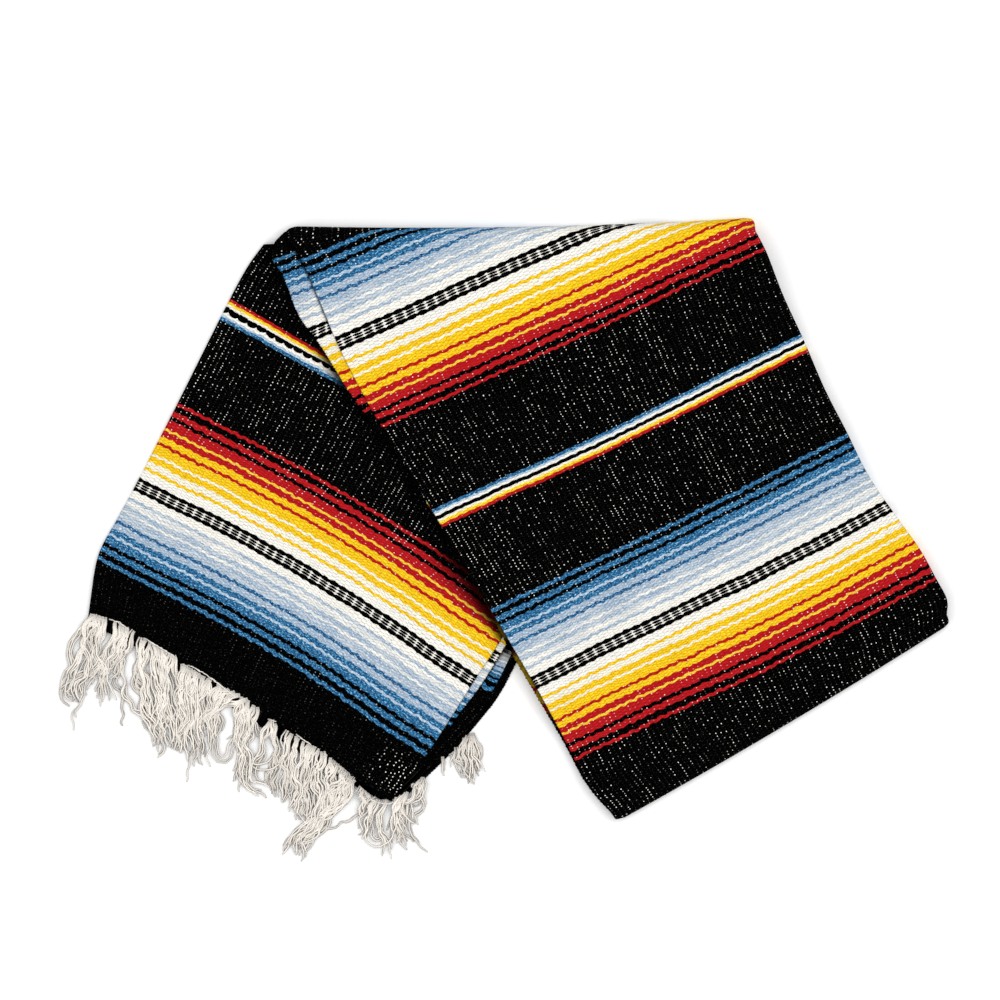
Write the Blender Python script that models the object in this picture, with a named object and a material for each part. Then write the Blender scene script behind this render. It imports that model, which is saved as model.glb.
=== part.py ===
"""Mexican serape blanket: folded lengthwise in three, bent over into a V and laid on a flat surface.

The left leg runs from the fringed hem up to the top fold. There the whole bundle turns over and
comes down again as the right leg, whose far end is folded under. The visible layer of each leg is a
wall of cloth. The layers hidden below it share one rounded solid, layered at its edges. The fringe
is the cloth's own warp ends, in locks, each node on the narrow strip that holds its roots.

Tables are in millimetres: +X to the right, +Y away from the hem, +Z up from the resting surface,
with the origin at the middle of the bottom of the bounding box.
"""

import bpy
import bmesh
import numpy as np
from math import cos, pi, radians, sin

MM = 0.001

# Cloth
LAYER = 3.0                      # one thickness of the cloth with the air below it
GAP = 0.3                        # between neighbouring solids
WALL = LAYER - GAP               # the cloth itself
LEFT_COUNT = 3                   # layers in the left leg
RIGHT_COUNT = 6                  # layers in the right leg: three, and three that are turned under
LEFT_TOP = LEFT_COUNT * LAYER
RIGHT_HEIGHT = RIGHT_COUNT * LAYER
SAG_START = 32.0                 # the right leg starts to come down this far off the left leg
SAG_RUN = 50.0                   # and is down after this much more
SWELL = 0.35                     # height of the soft waves in the cloth's top
SWELL_LENGTH = 260.0             # their length

# Folds across the bundle: how far each bulges past the line where it starts to turn, at the ends of
# that line and how much more at its middle, and then the length over which its left and its right
# corner are rounded off, and how much less the fold reaches there
TOP_FOLD = (13.5, -5.3, (24.0, 9.0), (9.0, 3.0))
END_FOLD = (9.5, 3.0, (9.0, 3.0), (9.0, 3.0))
WALL_TURNS = (0, 25, 50, 75, 100, 125, 150, 180)      # degrees round a fold, outer wall
PILE_TURNS = (25, 50)                                 # the same for the layers inside it
PILE_END = 0.6                   # the inner layers stop this far short of the wall's lower end
PILE_EASE = 0.15                 # and lie this much looser below the right leg's wall
LIP_CLEAR = 3.5                  # the inner layers are this much narrower inside a fold

# The left leg, a row for each line across it, from the hem up. Along each line it has the left
# edge, two points between, the top layer's right edge, the lower layers' right edge, and how much
# of the lower layers shows there.
LEFT_ROWS = (
    # left edge      one third      two thirds     right edge     lower layers   shown
    ((-417, -70), (-320, -121), (-219, -188), (-114, -260), (-97, -252), 8),
    ((-408, -15), (-300, -72), (-193, -136), (-78, -212), (-53, -211), 20),
    ((-388, 24), (-277, -34), (-167, -99), (-53, -174), (-31, -186), 25),
    ((-368, 61), (-255, 3), (-143, -63), (-30, -138), (-6, -154), 26),
    ((-348, 100), (-242, 45), (-128, -21), (-6, -101), (15, -114), 21),
    ((-328, 139), (-213, 78), (-98, 10), (16, -64), (36, -75), 20),
    ((-281, 233), (-164, 170), (-48, 104), (69, 29), (88, 18), 20),
    ((-259, 274), (-125, 240), (10, 202), (147, 162), (165, 150), 20),
    ((-242, 298), (-84, 302), (73, 304), (229, 305), (243, 302), 20),
)
# How far the lower layers' hem comes out past the top layer's, at the four points of its line
HEM_PEEK = np.array(((-2.0, -12.0), (-4.5, -11.0), (-5.5, -11.0), (-1.5, -2.5)))

# The right leg, a row for each line across it, from the start of the top fold down to the start of
# the end fold: the top layer's left edge, its right edge, and the inner layers' left edge.
RIGHT_ROWS = (
    # left edge     right edge    inner layers' left edge
    ((-219, 303), (250, 311), (-230, 300)),
    ((-208, 289), (257, 298), (-232, 282)),
    ((-200, 275), (263, 285), (-221, 265)),
    ((-184, 238), (277, 249), (-206, 227)),
    ((-164, 191), (298, 204), (-184, 196)),
    ((-133, 132), (320, 153), (-150, 142)),
    ((-100, 78), (342, 110), (-101, 78)),
    ((-67, 22), (358, 77), (-68, 22)),
    ((-31, -39), (373, 52), (-31, -39)),
    ((5, -100), (392, 25), (1, -101)),
    ((34, -150), (415, -7), (30, -151)),
    ((60, -198), (431, -36), (58, -199)),
    ((83, -243), (442, -57), (82, -243)),
    ((107, -272), (442, -73), (107, -272)),
)

# Edges of a wall, from the edge inwards: inset and drop of the outer face, then of the inner face
SELVEDGE = ((0.0, 1.0, 0.0, 1.8), (0.5, 0.3, 0.5, 2.4), (1.8, 0.0, 1.8, WALL))
FOLD_LIP = ((0.0, 5.4, 2.7, 5.4), (0.3, 2.7, 2.9, 4.1), (1.2, 0.9, 3.4, 3.1), (3.2, 0.0, 4.8, WALL))

# Sides of the hidden layers: inset, and share of their height. Each bulge is a fold or an edge.
RIGHT_PILE_LEFT = ((1.8, 0.0), (0.4, 0.07), (0.0, 0.2), (0.5, 0.33), (1.9, 0.4), (0.7, 0.46),
                   (0.7, 0.54), (1.9, 0.6), (0.5, 0.67), (0.0, 0.8), (0.6, 0.94), (2.4, 1.0))
RIGHT_PILE_RIGHT = ((5.6, 1.0), (3.7, 0.93), (3.4, 0.81), (0.8, 0.78), (0.0, 0.7), (0.9, 0.61),
                    (1.9, 0.58), (0.7, 0.52), (0.7, 0.45), (1.9, 0.4), (0.4, 0.32), (0.0, 0.2),
                    (0.5, 0.07), (1.9, 0.0))
LEFT_PILE_LEFT = ((1.5, 0.0), (0.3, 0.17), (0.3, 0.37), (1.0, 0.5), (4.0, 0.53), (4.4, 0.72), (6.6, 1.0))
# The left leg's lower layers end in two steps: inset as a share of what shows, and then in mm
LEFT_PILE_RIGHT = ((0.6, 2.0, 1.0), (0.6, 0.6, 0.95), (0.6, 0.0, 0.75), (0.6, -0.3, 0.53),
                   (0.0, 2.5, 0.5), (0.0, 0.7, 0.42), (0.0, 0.0, 0.25), (0.0, 0.6, 0.07), (0.0, 1.8, 0.0))

# Fringe
STRAND = 1.8                     # side of a strand at its root
STRAND_TIP = 1.1                 # and at its tip
STRAND_REST = 1.5                # height of its middle where it lies
ROOT_OUT = (0.4, 2.6)            # the root strip's inner and outer face, from the cloth's edge
ROOT_STEP = 6.0                  # longest straight stretch of a root strip
EDGE_STEP = 0.002                # share of a hem over which its direction is taken
FRONT_ROOT = (6.4, 8.8)          # its bottom and top at the top layer's hem
BACK_ROOT = (0.5, 2.9)           # its bottom and top at the lower layers' hem
FALL = (16.0, 30.0)              # the strands come down between these distances from their roots
STATIONS = (0.05, 0.2, 0.45, 0.72, 1.0)   # where a strand has a ring of points, as shares of its length
SWAY = 3.0                       # sideways wave of a lock
# Locks of the top layer's hem, from its left: where the roots start and end as shares of the hem,
# number of strands, the tip's place, the width of the lock there, and the phase of its wave
FRONT_LOCKS = (
    # from   to    count  tip           width  phase
    (0.012, 0.055, 6, (-436, -184), 14, 0.2),
    (0.085, 0.130, 6, (-408, -161), 15, 0.7),
    (0.145, 0.170, 3, (-384, -194), 7, 0.4),
    (0.185, 0.290, 12, (-342, -214), 28, 0.1),
    (0.310, 0.355, 6, (-313, -212), 14, 0.8),
    (0.370, 0.420, 6, (-288, -218), 14, 0.3),
    (0.440, 0.565, 12, (-250, -256), 28, 0.6),
    (0.595, 0.650, 6, (-227, -262), 14, 0.0),
    (0.670, 0.740, 8, (-205, -312), 17, 0.9),
    (0.755, 0.860, 11, (-178, -308), 25, 0.5),
    (0.880, 0.915, 4, (-150, -282), 9, 0.2),
    (0.930, 0.988, 7, (-124, -320), 17, 0.7),
)
# The same for the lower layers' hem, which the strip follows between two rows of the left leg
BACK_SPAN = (0.12, 1.85)
BACK_LOCKS = (
    (0.02, 0.20, 6, (-99, -308), 15, 0.3),
    (0.24, 0.37, 4, (-80, -296), 10, 0.6),
    (0.56, 0.97, 9, (-42, -252), 26, 0.1),
)

# Samples of the cloth
ROWS_PER_LINE = 2                # rows of faces between two rows of a table
COLUMNS = 13                     # points across the middle of a leg
COLUMN_INSET = 9.0               # the middle starts this far in from an edge

BLACK_WOOL = (0.006, 0.006, 0.007)
COTTON = (0.74, 0.69, 0.62)


def through_rows(rows, t):
    """Point sets of a table at t, counted in rows, on a smooth curve through every row."""
    i = min(max(int(t), 0), len(rows) - 2)
    f = t - i
    a, b = rows[i], rows[i + 1]
    before = rows[i - 1] if i > 0 else 2 * a - b
    after = rows[i + 2] if i + 2 < len(rows) else 2 * b - a
    slope_a, slope_b = (b - before) / 2, (after - a) / 2
    return ((2 * f**3 - 3 * f**2 + 1) * a + (f**3 - 2 * f**2 + f) * slope_a
            + (3 * f**2 - 2 * f**3) * b + (f**3 - f**2) * slope_b)


def across(points, s):
    """Point at share s of a line that passes through evenly spaced points."""
    nodes = np.linspace(0.0, 1.0, len(points))
    total = np.zeros(2)
    for k, point in enumerate(points):
        others = np.delete(nodes, k)
        total += np.prod((s - others) / (nodes[k] - others)) * point
    return total


def columns(table, *picked):
    """The picked columns of a table of plan points, as an array of rows."""
    return np.array([[row[k] for k in picked] for row in table], float)


LEFT_WALL = columns(LEFT_ROWS, 0, 1, 2, 3)
LEFT_PILE = columns(LEFT_ROWS, 0, 1, 2, 4)
LEFT_SHOWN = np.array([[row[5]] for row in LEFT_ROWS], float)
RIGHT_WALL = columns(RIGHT_ROWS, 0, 1)
RIGHT_PILE = columns(RIGHT_ROWS, 2, 1)


def left_top(p):
    """Height of the left leg's upper face."""
    return LEFT_TOP + SWELL * sin(2 * pi * p[0] / SWELL_LENGTH) * cos(2 * pi * p[1] / SWELL_LENGTH)


def past_left_leg(p):
    """How far a plan point lies outside the right edge of the left leg's lower layers."""
    edge = LEFT_PILE[:, -1]
    best = None
    for a, b in zip(edge[:-1], edge[1:]):
        run = b - a
        share = min(max(np.dot(p - a, run) / np.dot(run, run), 0.0), 1.0)
        off = p - (a + share * run)
        side = np.sign(run[1] * off[0] - run[0] * off[1])
        distance = np.linalg.norm(off)
        if best is None or distance < abs(best):
            best = side * distance
    return best


def right_bottom(p):
    """Height of the right leg's lower face: on the left leg, and down to the surface beside it."""
    share = min(max((past_left_leg(p) - SAG_START) / SAG_RUN, 0.0), 1.0)
    return (left_top(p) + GAP) * (0.5 + 0.5 * cos(pi * share))


def outward(line, sense):
    """Unit plan vector square to a line of points, away from the leg."""
    chord = line[-1] - line[0]
    normal = sense * np.array((-chord[1], chord[0]))
    return normal / np.linalg.norm(normal)


def add_solid(name, rings, sides, colour):
    """Close a stack of rings: left side, top, right side, and the bottom back under the top.

    sides holds the number of points in the left and the right side. The rest of a ring is the
    same number of points across the top and back across the bottom.
    """
    left, right = sides
    size = len(rings[0])
    wide = (size - left - right) // 2
    bm = bmesh.new()
    stack = [[bm.verts.new(np.array(p) * MM) for p in ring] for ring in rings]
    for ring, following in zip(stack[:-1], stack[1:]):
        for k in range(size):
            n = (k + 1) % size
            bm.faces.new((ring[k], ring[n], following[n], following[k]))
    for ring in (stack[0], stack[-1]):
        top = ring[left:left + wide]
        bottom = ring[left + wide + right:][::-1]
        for k in range(wide - 1):
            bm.faces.new((top[k], top[k + 1], bottom[k + 1], bottom[k]))
        if left:
            bm.faces.new([bottom[0]] + ring[:left] + [top[0]])
        if right:
            bm.faces.new([top[-1]] + ring[left + wide:left + wide + right] + [bottom[-1]])
    return finish(name, bm, colour)


def finish(name, bm, colour):
    """Turn a bmesh into a named object with its own material."""
    bmesh.ops.recalc_face_normals(bm, faces=bm.faces)
    mesh = bpy.data.meshes.new(name)
    bm.to_mesh(mesh)
    bm.free()
    mesh.shade_smooth()
    mesh.set_sharp_from_angle(angle=radians(50))
    material = bpy.data.materials.new(name)
    material.use_nodes = True
    surface = material.node_tree.nodes["Principled BSDF"]
    surface.inputs["Base Color"].default_value = (*colour, 1.0)
    surface.inputs["Roughness"].default_value = 0.9
    surface.inputs["Metallic"].default_value = 0.0
    mesh.materials.append(material)
    item = bpy.data.objects.new(name, mesh)
    PARTS.objects.link(item)
    # Cloth and the layers below it bend along the same diagonals, so they stay apart.
    facets = item.modifiers.new("Facets", "TRIANGULATE")
    facets.quad_method = "SHORTEST_DIAGONAL"
    return item


def middle_points(line):
    """Points across the middle of a wall, which the layers below it share."""
    start = COLUMN_INSET / np.linalg.norm(line[-1] - line[0])
    return [across(line, share) for share in np.linspace(start, 1 - start, COLUMNS)]


def wall_ring(line, left_edge, right_edge, place):
    """Ring of a wall on one line across a leg: its outer face, and back along its inner face."""
    width = np.linalg.norm(line[-1] - line[0])
    outer, inner = [], []
    for out_inset, out_drop, in_inset, in_drop in left_edge:
        outer.append(place(across(line, out_inset / width), out_drop))
        inner.append(place(across(line, in_inset / width), in_drop))
    for p in middle_points(line):
        outer.append(place(p, 0.0))
        inner.append(place(p, WALL))
    for out_inset, out_drop, in_inset, in_drop in right_edge[::-1]:
        outer.append(place(across(line, 1 - out_inset / width), out_drop))
        inner.append(place(across(line, 1 - in_inset / width), in_drop))
    return outer + inner[::-1]


def pile_ring(line, middle, left_side, right_side, place, clear=0.0):
    """Ring of hidden layers on one line across a leg: place(p, share) stands on share of their height."""
    width = np.linalg.norm(line[-1] - line[0])

    ring = [place(across(line, inset / width), share) for inset, share in left_side]
    ring += [place(p, 1.0) for p in middle]
    ring += [place(across(line, 1 - (inset + clear) / width), share) for inset, share in right_side]
    ring += [place(p, 0.0) for p in middle[::-1]]
    return ring


def line_numbers(table):
    """Where the rows of faces lie, counted in rows of a table."""
    return np.linspace(0, len(table) - 1, (len(table) - 1) * ROWS_PER_LINE + 1)


def left_stretch():
    """Top layer of the left leg: folded edge on the left, selvedge on the right."""
    def place(p, drop):
        return (*p, left_top(p) - drop)

    lines = [through_rows(LEFT_WALL, t) for t in line_numbers(LEFT_WALL)]
    rings = [wall_ring(line, FOLD_LIP, SELVEDGE, place) for line in lines]
    return add_solid("left_stretch", rings, (0, 0), BLACK_WOOL)


def hem_peek(t):
    """How far the lower layers of the left leg lie beyond the top one, at the points of a line."""
    return HEM_PEEK * max(1 - t, 0)


def left_pile_edge(t):
    """Right edge of the left leg's lower layers on one line across it."""
    return (through_rows(LEFT_PILE, t) + hem_peek(t))[-1]


def left_layers():
    """The two lower layers of the left leg, stepped where they show beside the top one."""
    def place(p, share):
        return (*p, share * (left_top(p) - LAYER))

    rings = []
    for t in line_numbers(LEFT_PILE):
        shown = through_rows(LEFT_SHOWN, t)[0]
        steps = [(part * shown + inset, share) for part, inset, share in LEFT_PILE_RIGHT]
        middle = middle_points(through_rows(LEFT_WALL, t) + hem_peek(t))
        line = through_rows(LEFT_PILE, t) + hem_peek(t)
        rings.append(pile_ring(line, middle, LEFT_PILE_LEFT, steps, place))
    return add_solid("left_layers", rings, (len(LEFT_PILE_LEFT), len(LEFT_PILE_RIGHT)), BLACK_WOOL)


def right_top(p):
    """Height of the right leg's upper face."""
    return right_bottom(p) + RIGHT_HEIGHT


def fold_reach(p, line, fold):
    """How far a fold reaches at a plan point of the line where it starts to turn."""
    ends, more, left, right = fold
    run = line[-1] - line[0]
    width = np.linalg.norm(run)
    share = np.dot(p - line[0], run) / width**2
    reach = ends + 4 * more * share * (1 - share)
    for (length, loss), part in ((left, share), (right, 1 - share)):
        reach -= loss * max(1 - part * width / length, 0.0)**2
    return reach


def right_stretch():
    """Top layer of the right leg, round the top fold at one end and the end fold at the other."""
    def level(p, drop):
        return (*p, right_top(p) - drop)

    def ring(t, place):
        return wall_ring(through_rows(RIGHT_WALL, t), SELVEDGE, FOLD_LIP, place)

    def in_fold(t, out, fold, turn):
        crease = through_rows(RIGHT_PILE, t)

        def place(p, drop):
            half = right_top(p) / 2
            plan = p + out * (fold_reach(p, crease, fold) - drop) * sin(turn)
            return (*plan, half + (half - drop) * cos(turn))

        return ring(t, place)

    end = len(RIGHT_WALL) - 1
    ahead, away = outward(RIGHT_WALL[0], 1), outward(RIGHT_WALL[end], -1)
    rings = [in_fold(0, ahead, TOP_FOLD, radians(turn)) for turn in WALL_TURNS[:0:-1]]
    rings += [ring(t, level) for t in line_numbers(RIGHT_WALL)]
    rings += [in_fold(end, away, END_FOLD, radians(turn)) for turn in WALL_TURNS[1:]]
    return add_solid("right_stretch", rings, (0, 0), BLACK_WOOL)


def right_layers():
    """Layers inside the right leg, with a strip of them showing beside the top layer's left edge."""
    def high(p):
        return right_top(p) - LAYER - PILE_EASE

    def between(low, top, shift=(0.0, 0.0)):
        def place(p, share):
            moved = p + shift
            return (*moved, low(moved) + share * (top(moved) - low(moved)))

        return place

    def ring(t, place, clear=0.0):
        middle = middle_points(through_rows(RIGHT_WALL, t))
        return pile_ring(through_rows(RIGHT_PILE, t), middle, RIGHT_PILE_LEFT, RIGHT_PILE_RIGHT, place, clear)

    def in_fold(t, out, fold, turn, has_floor):
        crease = through_rows(RIGHT_PILE, t)

        def place(p, share):
            moved = p + out * (fold_reach(p, crease, fold) - LAYER) * sin(turn)
            half = right_top(p) / 2
            rise = (half - LAYER) * cos(turn)
            low = half - rise if has_floor else right_bottom(moved)
            return (*moved, low + share * (half + rise - low))

        return ring(t, place, LIP_CLEAR)

    def under(p):
        return LAYER

    end = len(RIGHT_WALL) - 1
    ahead, away = outward(RIGHT_WALL[0], 1), outward(RIGHT_WALL[end], -1)
    rings = [in_fold(0, ahead, TOP_FOLD, radians(turn), False) for turn in PILE_TURNS[::-1]]
    rings += [ring(t, between(right_bottom, high)) for t in line_numbers(RIGHT_PILE)[:-1]]
    rings.append(ring(end, between(right_bottom, high, -away * (PILE_END + GAP)), LIP_CLEAR))
    rings.append(ring(end, between(under, high, -away * PILE_END), LIP_CLEAR))
    rings += [in_fold(end, away, END_FOLD, radians(turn), True) for turn in PILE_TURNS]
    return add_solid("right_layers", rings, (len(RIGHT_PILE_LEFT), len(RIGHT_PILE_RIGHT)), BLACK_WOOL)


def strand_rings(root, out, tip, aside, phase, start_height):
    """Rings of four points along one strand, from its root to its tip."""
    length = np.linalg.norm(tip - root)
    bend = root + out * length * 0.4

    def plan(f):
        wave = SWAY * sin(pi * f) * sin(2 * pi * (f + phase))
        return (1 - f)**2 * root + 2 * f * (1 - f) * bend + f**2 * tip + aside * wave

    rings = []
    for f in STATIONS:
        ahead = plan(f + 0.01) - plan(f - 0.01)
        ahead /= np.linalg.norm(ahead)
        across_it = np.array((-ahead[1], ahead[0]))
        half = (STRAND + (STRAND_TIP - STRAND) * f) / 2
        run = np.dot(plan(f) - root, plan(f) - root) ** 0.5
        fallen = min(max((run - FALL[0]) / (FALL[1] - FALL[0]), 0.0), 1.0)
        height = start_height + (STRAND_REST - start_height) * (0.5 - 0.5 * cos(pi * fallen))
        rings.append([(*(plan(f) + across_it * half * x), height + half * z)
                      for x, z in ((-1, -1), (1, -1), (1, 1), (-1, 1))])
    return rings


def edge_frame(edge, share):
    """Point on a hem, and unit plan vectors along it and out of it."""
    a, b = edge(share - EDGE_STEP), edge(share + EDGE_STEP)
    along = (b - a) / np.linalg.norm(b - a)
    return edge(share), along, np.array((along[1], -along[0]))


def join(bm, first, second, sides=(0, 1, 2, 3)):
    """Faces between two rings of four points, on the sides that are picked."""
    for i in sides:
        j = (i + 1) % 4
        bm.faces.new((first[i], first[j], second[j], second[i]))


def root_ring(bm, edge, share, heights):
    """Ring of four points of a root strip: inner low, outer low, outer high, inner high."""
    point, _, out = edge_frame(edge, share)
    low, high = heights
    corners = ((ROOT_OUT[0], low), (ROOT_OUT[1], low), (ROOT_OUT[1], high), (ROOT_OUT[0], high))
    return [bm.verts.new(np.array((*(point + out * x), z)) * MM) for x, z in corners]


def grow_strand(bm, socket, rings):
    """A strand from the four points of a socket in a root strip's outer face, through its rings."""
    for corners in rings:
        following = [bm.verts.new(np.array(p) * MM) for p in corners]
        join(bm, socket, following)
        socket = following
    bm.faces.new(socket)


def fringe(name, edge, locks, heights):
    """A root strip along edge(share) and the strands that grow from its outer face."""
    length = sum(np.linalg.norm(edge(x) - edge(x - 0.05)) for x in np.linspace(0.05, 1.0, 20))
    half, step = STRAND / 2 / length, ROOT_STEP / length
    bm = bmesh.new()
    reached = locks[0][0] - 2 * half
    previous = root_ring(bm, edge, reached, heights)
    bm.faces.new(previous)
    for start, end, count, tip, width, phase in locks:
        for k in range(count):
            share = start + (end - start) * (k + 0.5) / count
            for between in np.arange(reached + step, share - step / 2, step):
                following = root_ring(bm, edge, between, heights)
                join(bm, previous, following)
                previous = following
            a, b = (root_ring(bm, edge, share + side * half, heights) for side in (-1, 1))
            join(bm, previous, a)
            join(bm, a, b, (0, 2, 3))
            point, along, out = edge_frame(edge, share)
            root = point + out * ROOT_OUT[1]
            target = np.array(tip) + along * width * (k - 0.5 * (count - 1)) / count
            rings = strand_rings(root, out, target, along, phase, sum(heights) / 2)
            grow_strand(bm, [a[1], b[1], b[2], a[2]], rings)
            previous, reached = b, share + half
    bm.faces.new(previous)
    return finish(name, bm, COTTON)


def front_hem(share):
    """The top layer's hem, from left to right."""
    return across(LEFT_WALL[0], share)


def back_hem(share):
    """The lower layers' hem that shows at the right of the left leg."""
    t = (BACK_SPAN[0] + (BACK_SPAN[1] - BACK_SPAN[0]) * share) * ROWS_PER_LINE
    a, b = (left_pile_edge(row / ROWS_PER_LINE) for row in (int(t), int(t) + 1))
    return a + (b - a) * (t - int(t))


for old in list(bpy.data.objects):
    bpy.data.objects.remove(old)
PARTS = bpy.data.collections.new("mexican_serape")
bpy.context.scene.collection.children.link(PARTS)

left_stretch()
left_layers()
right_stretch()
right_layers()
fringe("fringe_front", front_hem, FRONT_LOCKS, FRONT_ROOT)
fringe("fringe_back", back_hem, BACK_LOCKS, BACK_ROOT)
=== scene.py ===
"""Mexican serape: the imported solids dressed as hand-woven striped cloth with a cotton fringe.

Tables are in millimetres in the frame of the part: +X to the right, +Y from the hem to the top fold,
+Z up from the surface the serape lies on. "across" runs along the stripes, from one folded edge of
a leg to the other; "along" runs down the length of the cloth, from the fringed hem.
"""

import bpy
import numpy as np
from math import cos, pi, radians, sin
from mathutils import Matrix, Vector
from numpy.linalg import norm


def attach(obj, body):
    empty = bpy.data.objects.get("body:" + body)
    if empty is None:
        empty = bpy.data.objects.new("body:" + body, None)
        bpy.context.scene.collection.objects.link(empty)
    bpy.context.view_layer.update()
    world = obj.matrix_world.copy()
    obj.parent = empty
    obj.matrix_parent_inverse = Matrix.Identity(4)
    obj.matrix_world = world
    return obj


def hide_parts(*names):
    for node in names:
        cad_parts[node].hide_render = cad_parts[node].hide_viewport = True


MM = 0.001
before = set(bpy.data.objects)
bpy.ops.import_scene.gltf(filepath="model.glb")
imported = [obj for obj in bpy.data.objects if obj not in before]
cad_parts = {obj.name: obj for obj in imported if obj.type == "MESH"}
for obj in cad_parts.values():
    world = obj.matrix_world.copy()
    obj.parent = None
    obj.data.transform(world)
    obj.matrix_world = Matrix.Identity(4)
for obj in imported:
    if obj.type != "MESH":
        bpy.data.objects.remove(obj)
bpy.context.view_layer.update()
rng = np.random.default_rng(7)

# ---------------------------------------------------------------- camera, light and floor
VIEW_CENTRE = (-0.005, 0.042)
VIEW_HEIGHT = 5.0  # over the cloth's plane, in metres as all that follows here
CLOTH_PLANE = 0.014
SENSOR = 36.0
FAR = 50.0
WHITE_LIGHT = (1.0, 1.0, 1.0, 1.0)
WORLD_STRENGTH = 0.6
# Name, place, size and power
LIGHTS = (("key", (0.7, 0.4, 2.9), 1.8, 44.0), ("fill", (-1.2, -0.6, 2.6), 2.2, 26.0))
FLOOR_SIZE = 16.0
FLOOR_HEIGHT = -0.0005
PAPER = (0.96, 0.96, 0.96, 1.0)


def add_object(name, data):
    """An object in the scene that shows some data."""
    item = bpy.data.objects.new(name, data)
    bpy.context.scene.collection.objects.link(item)
    return item


def set_camera():
    """Camera straight above the serape, with a field of one metre at the cloth."""
    camera = add_object("camera", bpy.data.cameras.new("camera"))
    camera.data.sensor_width = SENSOR
    camera.data.lens = SENSOR * VIEW_HEIGHT
    camera.data.clip_end = FAR
    camera.location = (*VIEW_CENTRE, VIEW_HEIGHT + CLOTH_PLANE)
    bpy.context.scene.camera = camera


def set_lights():
    """Square area lights that point at the middle, and even studio light from all around."""
    for name, place, size, power in LIGHTS:
        light = add_object(name, bpy.data.lights.new(name, "AREA"))
        light.data.size, light.data.energy = size, power
        light.location = place
        light.rotation_euler = (-Vector(place)).to_track_quat("-Z", "Y").to_euler()
    world = bpy.data.worlds.new("studio")
    world.use_nodes = True
    background = world.node_tree.nodes["Background"].inputs
    background["Color"].default_value = WHITE_LIGHT
    background["Strength"].default_value = WORLD_STRENGTH
    bpy.context.scene.world = world
    bpy.context.scene.view_settings.view_transform = "Standard"


# ---------------------------------------------------------------- shader nodes
def arithmetic(operation, swapped=False):
    """A method that adds a math node for a value with another value or a number."""
    def method(self, other):
        return self.shader.math(operation, *((other, self) if swapped else (self, other)))
    return method


class Value:
    """An output of a shader node, which takes part in sums and comparisons as a number does."""

    def __init__(self, shader, socket):
        self.shader, self.socket = shader, socket

    __add__, __radd__ = arithmetic("ADD"), arithmetic("ADD", swapped=True)
    __sub__, __rsub__ = arithmetic("SUBTRACT"), arithmetic("SUBTRACT", swapped=True)
    __mul__, __truediv__, __pow__ = arithmetic("MULTIPLY"), arithmetic("DIVIDE"), arithmetic("POWER")
    __gt__, __lt__ = arithmetic("GREATER_THAN"), arithmetic("LESS_THAN")

    def __abs__(self):
        return self.shader.math("ABSOLUTE", self)


class Shader:
    """A material and short calls that add nodes to it."""

    def __init__(self, name, roughness, gloss=0.08):
        self.material = bpy.data.materials.new(name)
        self.material.use_nodes = True
        self.tree = self.material.node_tree
        self.surface = self.tree.nodes["Principled BSDF"].inputs
        self.put(self.surface["Roughness"], roughness)
        self.put(self.surface["Specular IOR Level"], gloss)

    def put(self, socket, value):
        """Link a value to a socket, or set the socket to a number or a colour."""
        if isinstance(value, Value):
            self.tree.links.new(value.socket, socket)
        else:
            socket.default_value = value

    def new(self, kind):
        return self.tree.nodes.new("ShaderNode" + kind)

    def fill(self, node, output, inputs):
        """Fill a node's inputs, and give back one of its outputs."""
        for name, value in inputs.items():
            self.put(node.inputs[name], value)
        return Value(self, node.outputs[output])

    def math(self, operation, *values):
        node = self.new("Math")
        node.operation = operation
        return self.fill(node, 0, dict(enumerate(values)))

    def ramp(self, value, low, high):
        """0 below low, 1 above high, and smooth between."""
        node = self.new("MapRange")
        node.interpolation_type = "SMOOTHSTEP"
        return self.fill(node, "Result", {"Value": value, "From Min": low, "From Max": high})

    def mix(self, share, a, b, blend="MIX"):
        node = self.new("Mix")
        node.data_type, node.blend_type, node.clamp_result = "RGBA", blend, True
        return self.fill(node, 2, {0: share, 6: a, 7: b})

    def split(self, kind, value):
        """The three outputs of a node that takes a vector or a colour apart."""
        node = self.new(kind)
        return [self.fill(node, k, {0: value}) for k in range(3)]

    def parts(self, attribute):
        """The three numbers that a mesh holds at each point."""
        node = self.new("Attribute")
        node.attribute_name = attribute
        return self.split("SeparateXYZ", self.fill(node, "Vector", {}))

    def vector(self, *numbers):
        return self.fill(self.new("CombineXYZ"), 0, dict(enumerate(numbers)))

    def noise(self, *place, scale=1.0, detail=2.0):
        """Noise round 0, between about -0.5 and 0.5."""
        inputs = {"Vector": self.vector(*place), "Scale": scale, "Detail": detail}
        return self.fill(self.new("TexNoise"), "Fac", inputs) - 0.5

    def random(self, *place):
        return self.fill(self.new("TexWhiteNoise"), "Value", {"Vector": self.vector(*place)})

    def darkened(self, colour, tone):
        """A colour times a number."""
        return self.mix(1.0, colour, self.vector(tone, tone, tone), "MULTIPLY")

    def bands(self, value, stops):
        """Colours by place: each starts at its own value, which is a share of the range."""
        node = self.new("ValToRGB")
        node.color_ramp.interpolation = "CONSTANT"
        elements = node.color_ramp.elements
        for element, (place, colour) in zip(elements, stops):
            element.position, element.color = place, colour
        for place, colour in stops[len(elements):]:
            elements.new(place).color = colour
        return self.fill(node, "Color", {0: value})

    def bump(self, height, distance, strength):
        inputs = {"Height": height, "Distance": distance, "Strength": strength}
        self.put(self.surface["Normal"], self.fill(self.new("Bump"), "Normal", inputs))


def srgb(*values):
    """A colour given as 0 to 255 on screen, as linear numbers and a full alpha."""
    return (*((v / 255 / 12.92) if v <= 10 else ((v / 255 + 0.055) / 1.055) ** 2.4 for v in values), 1.0)


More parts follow.
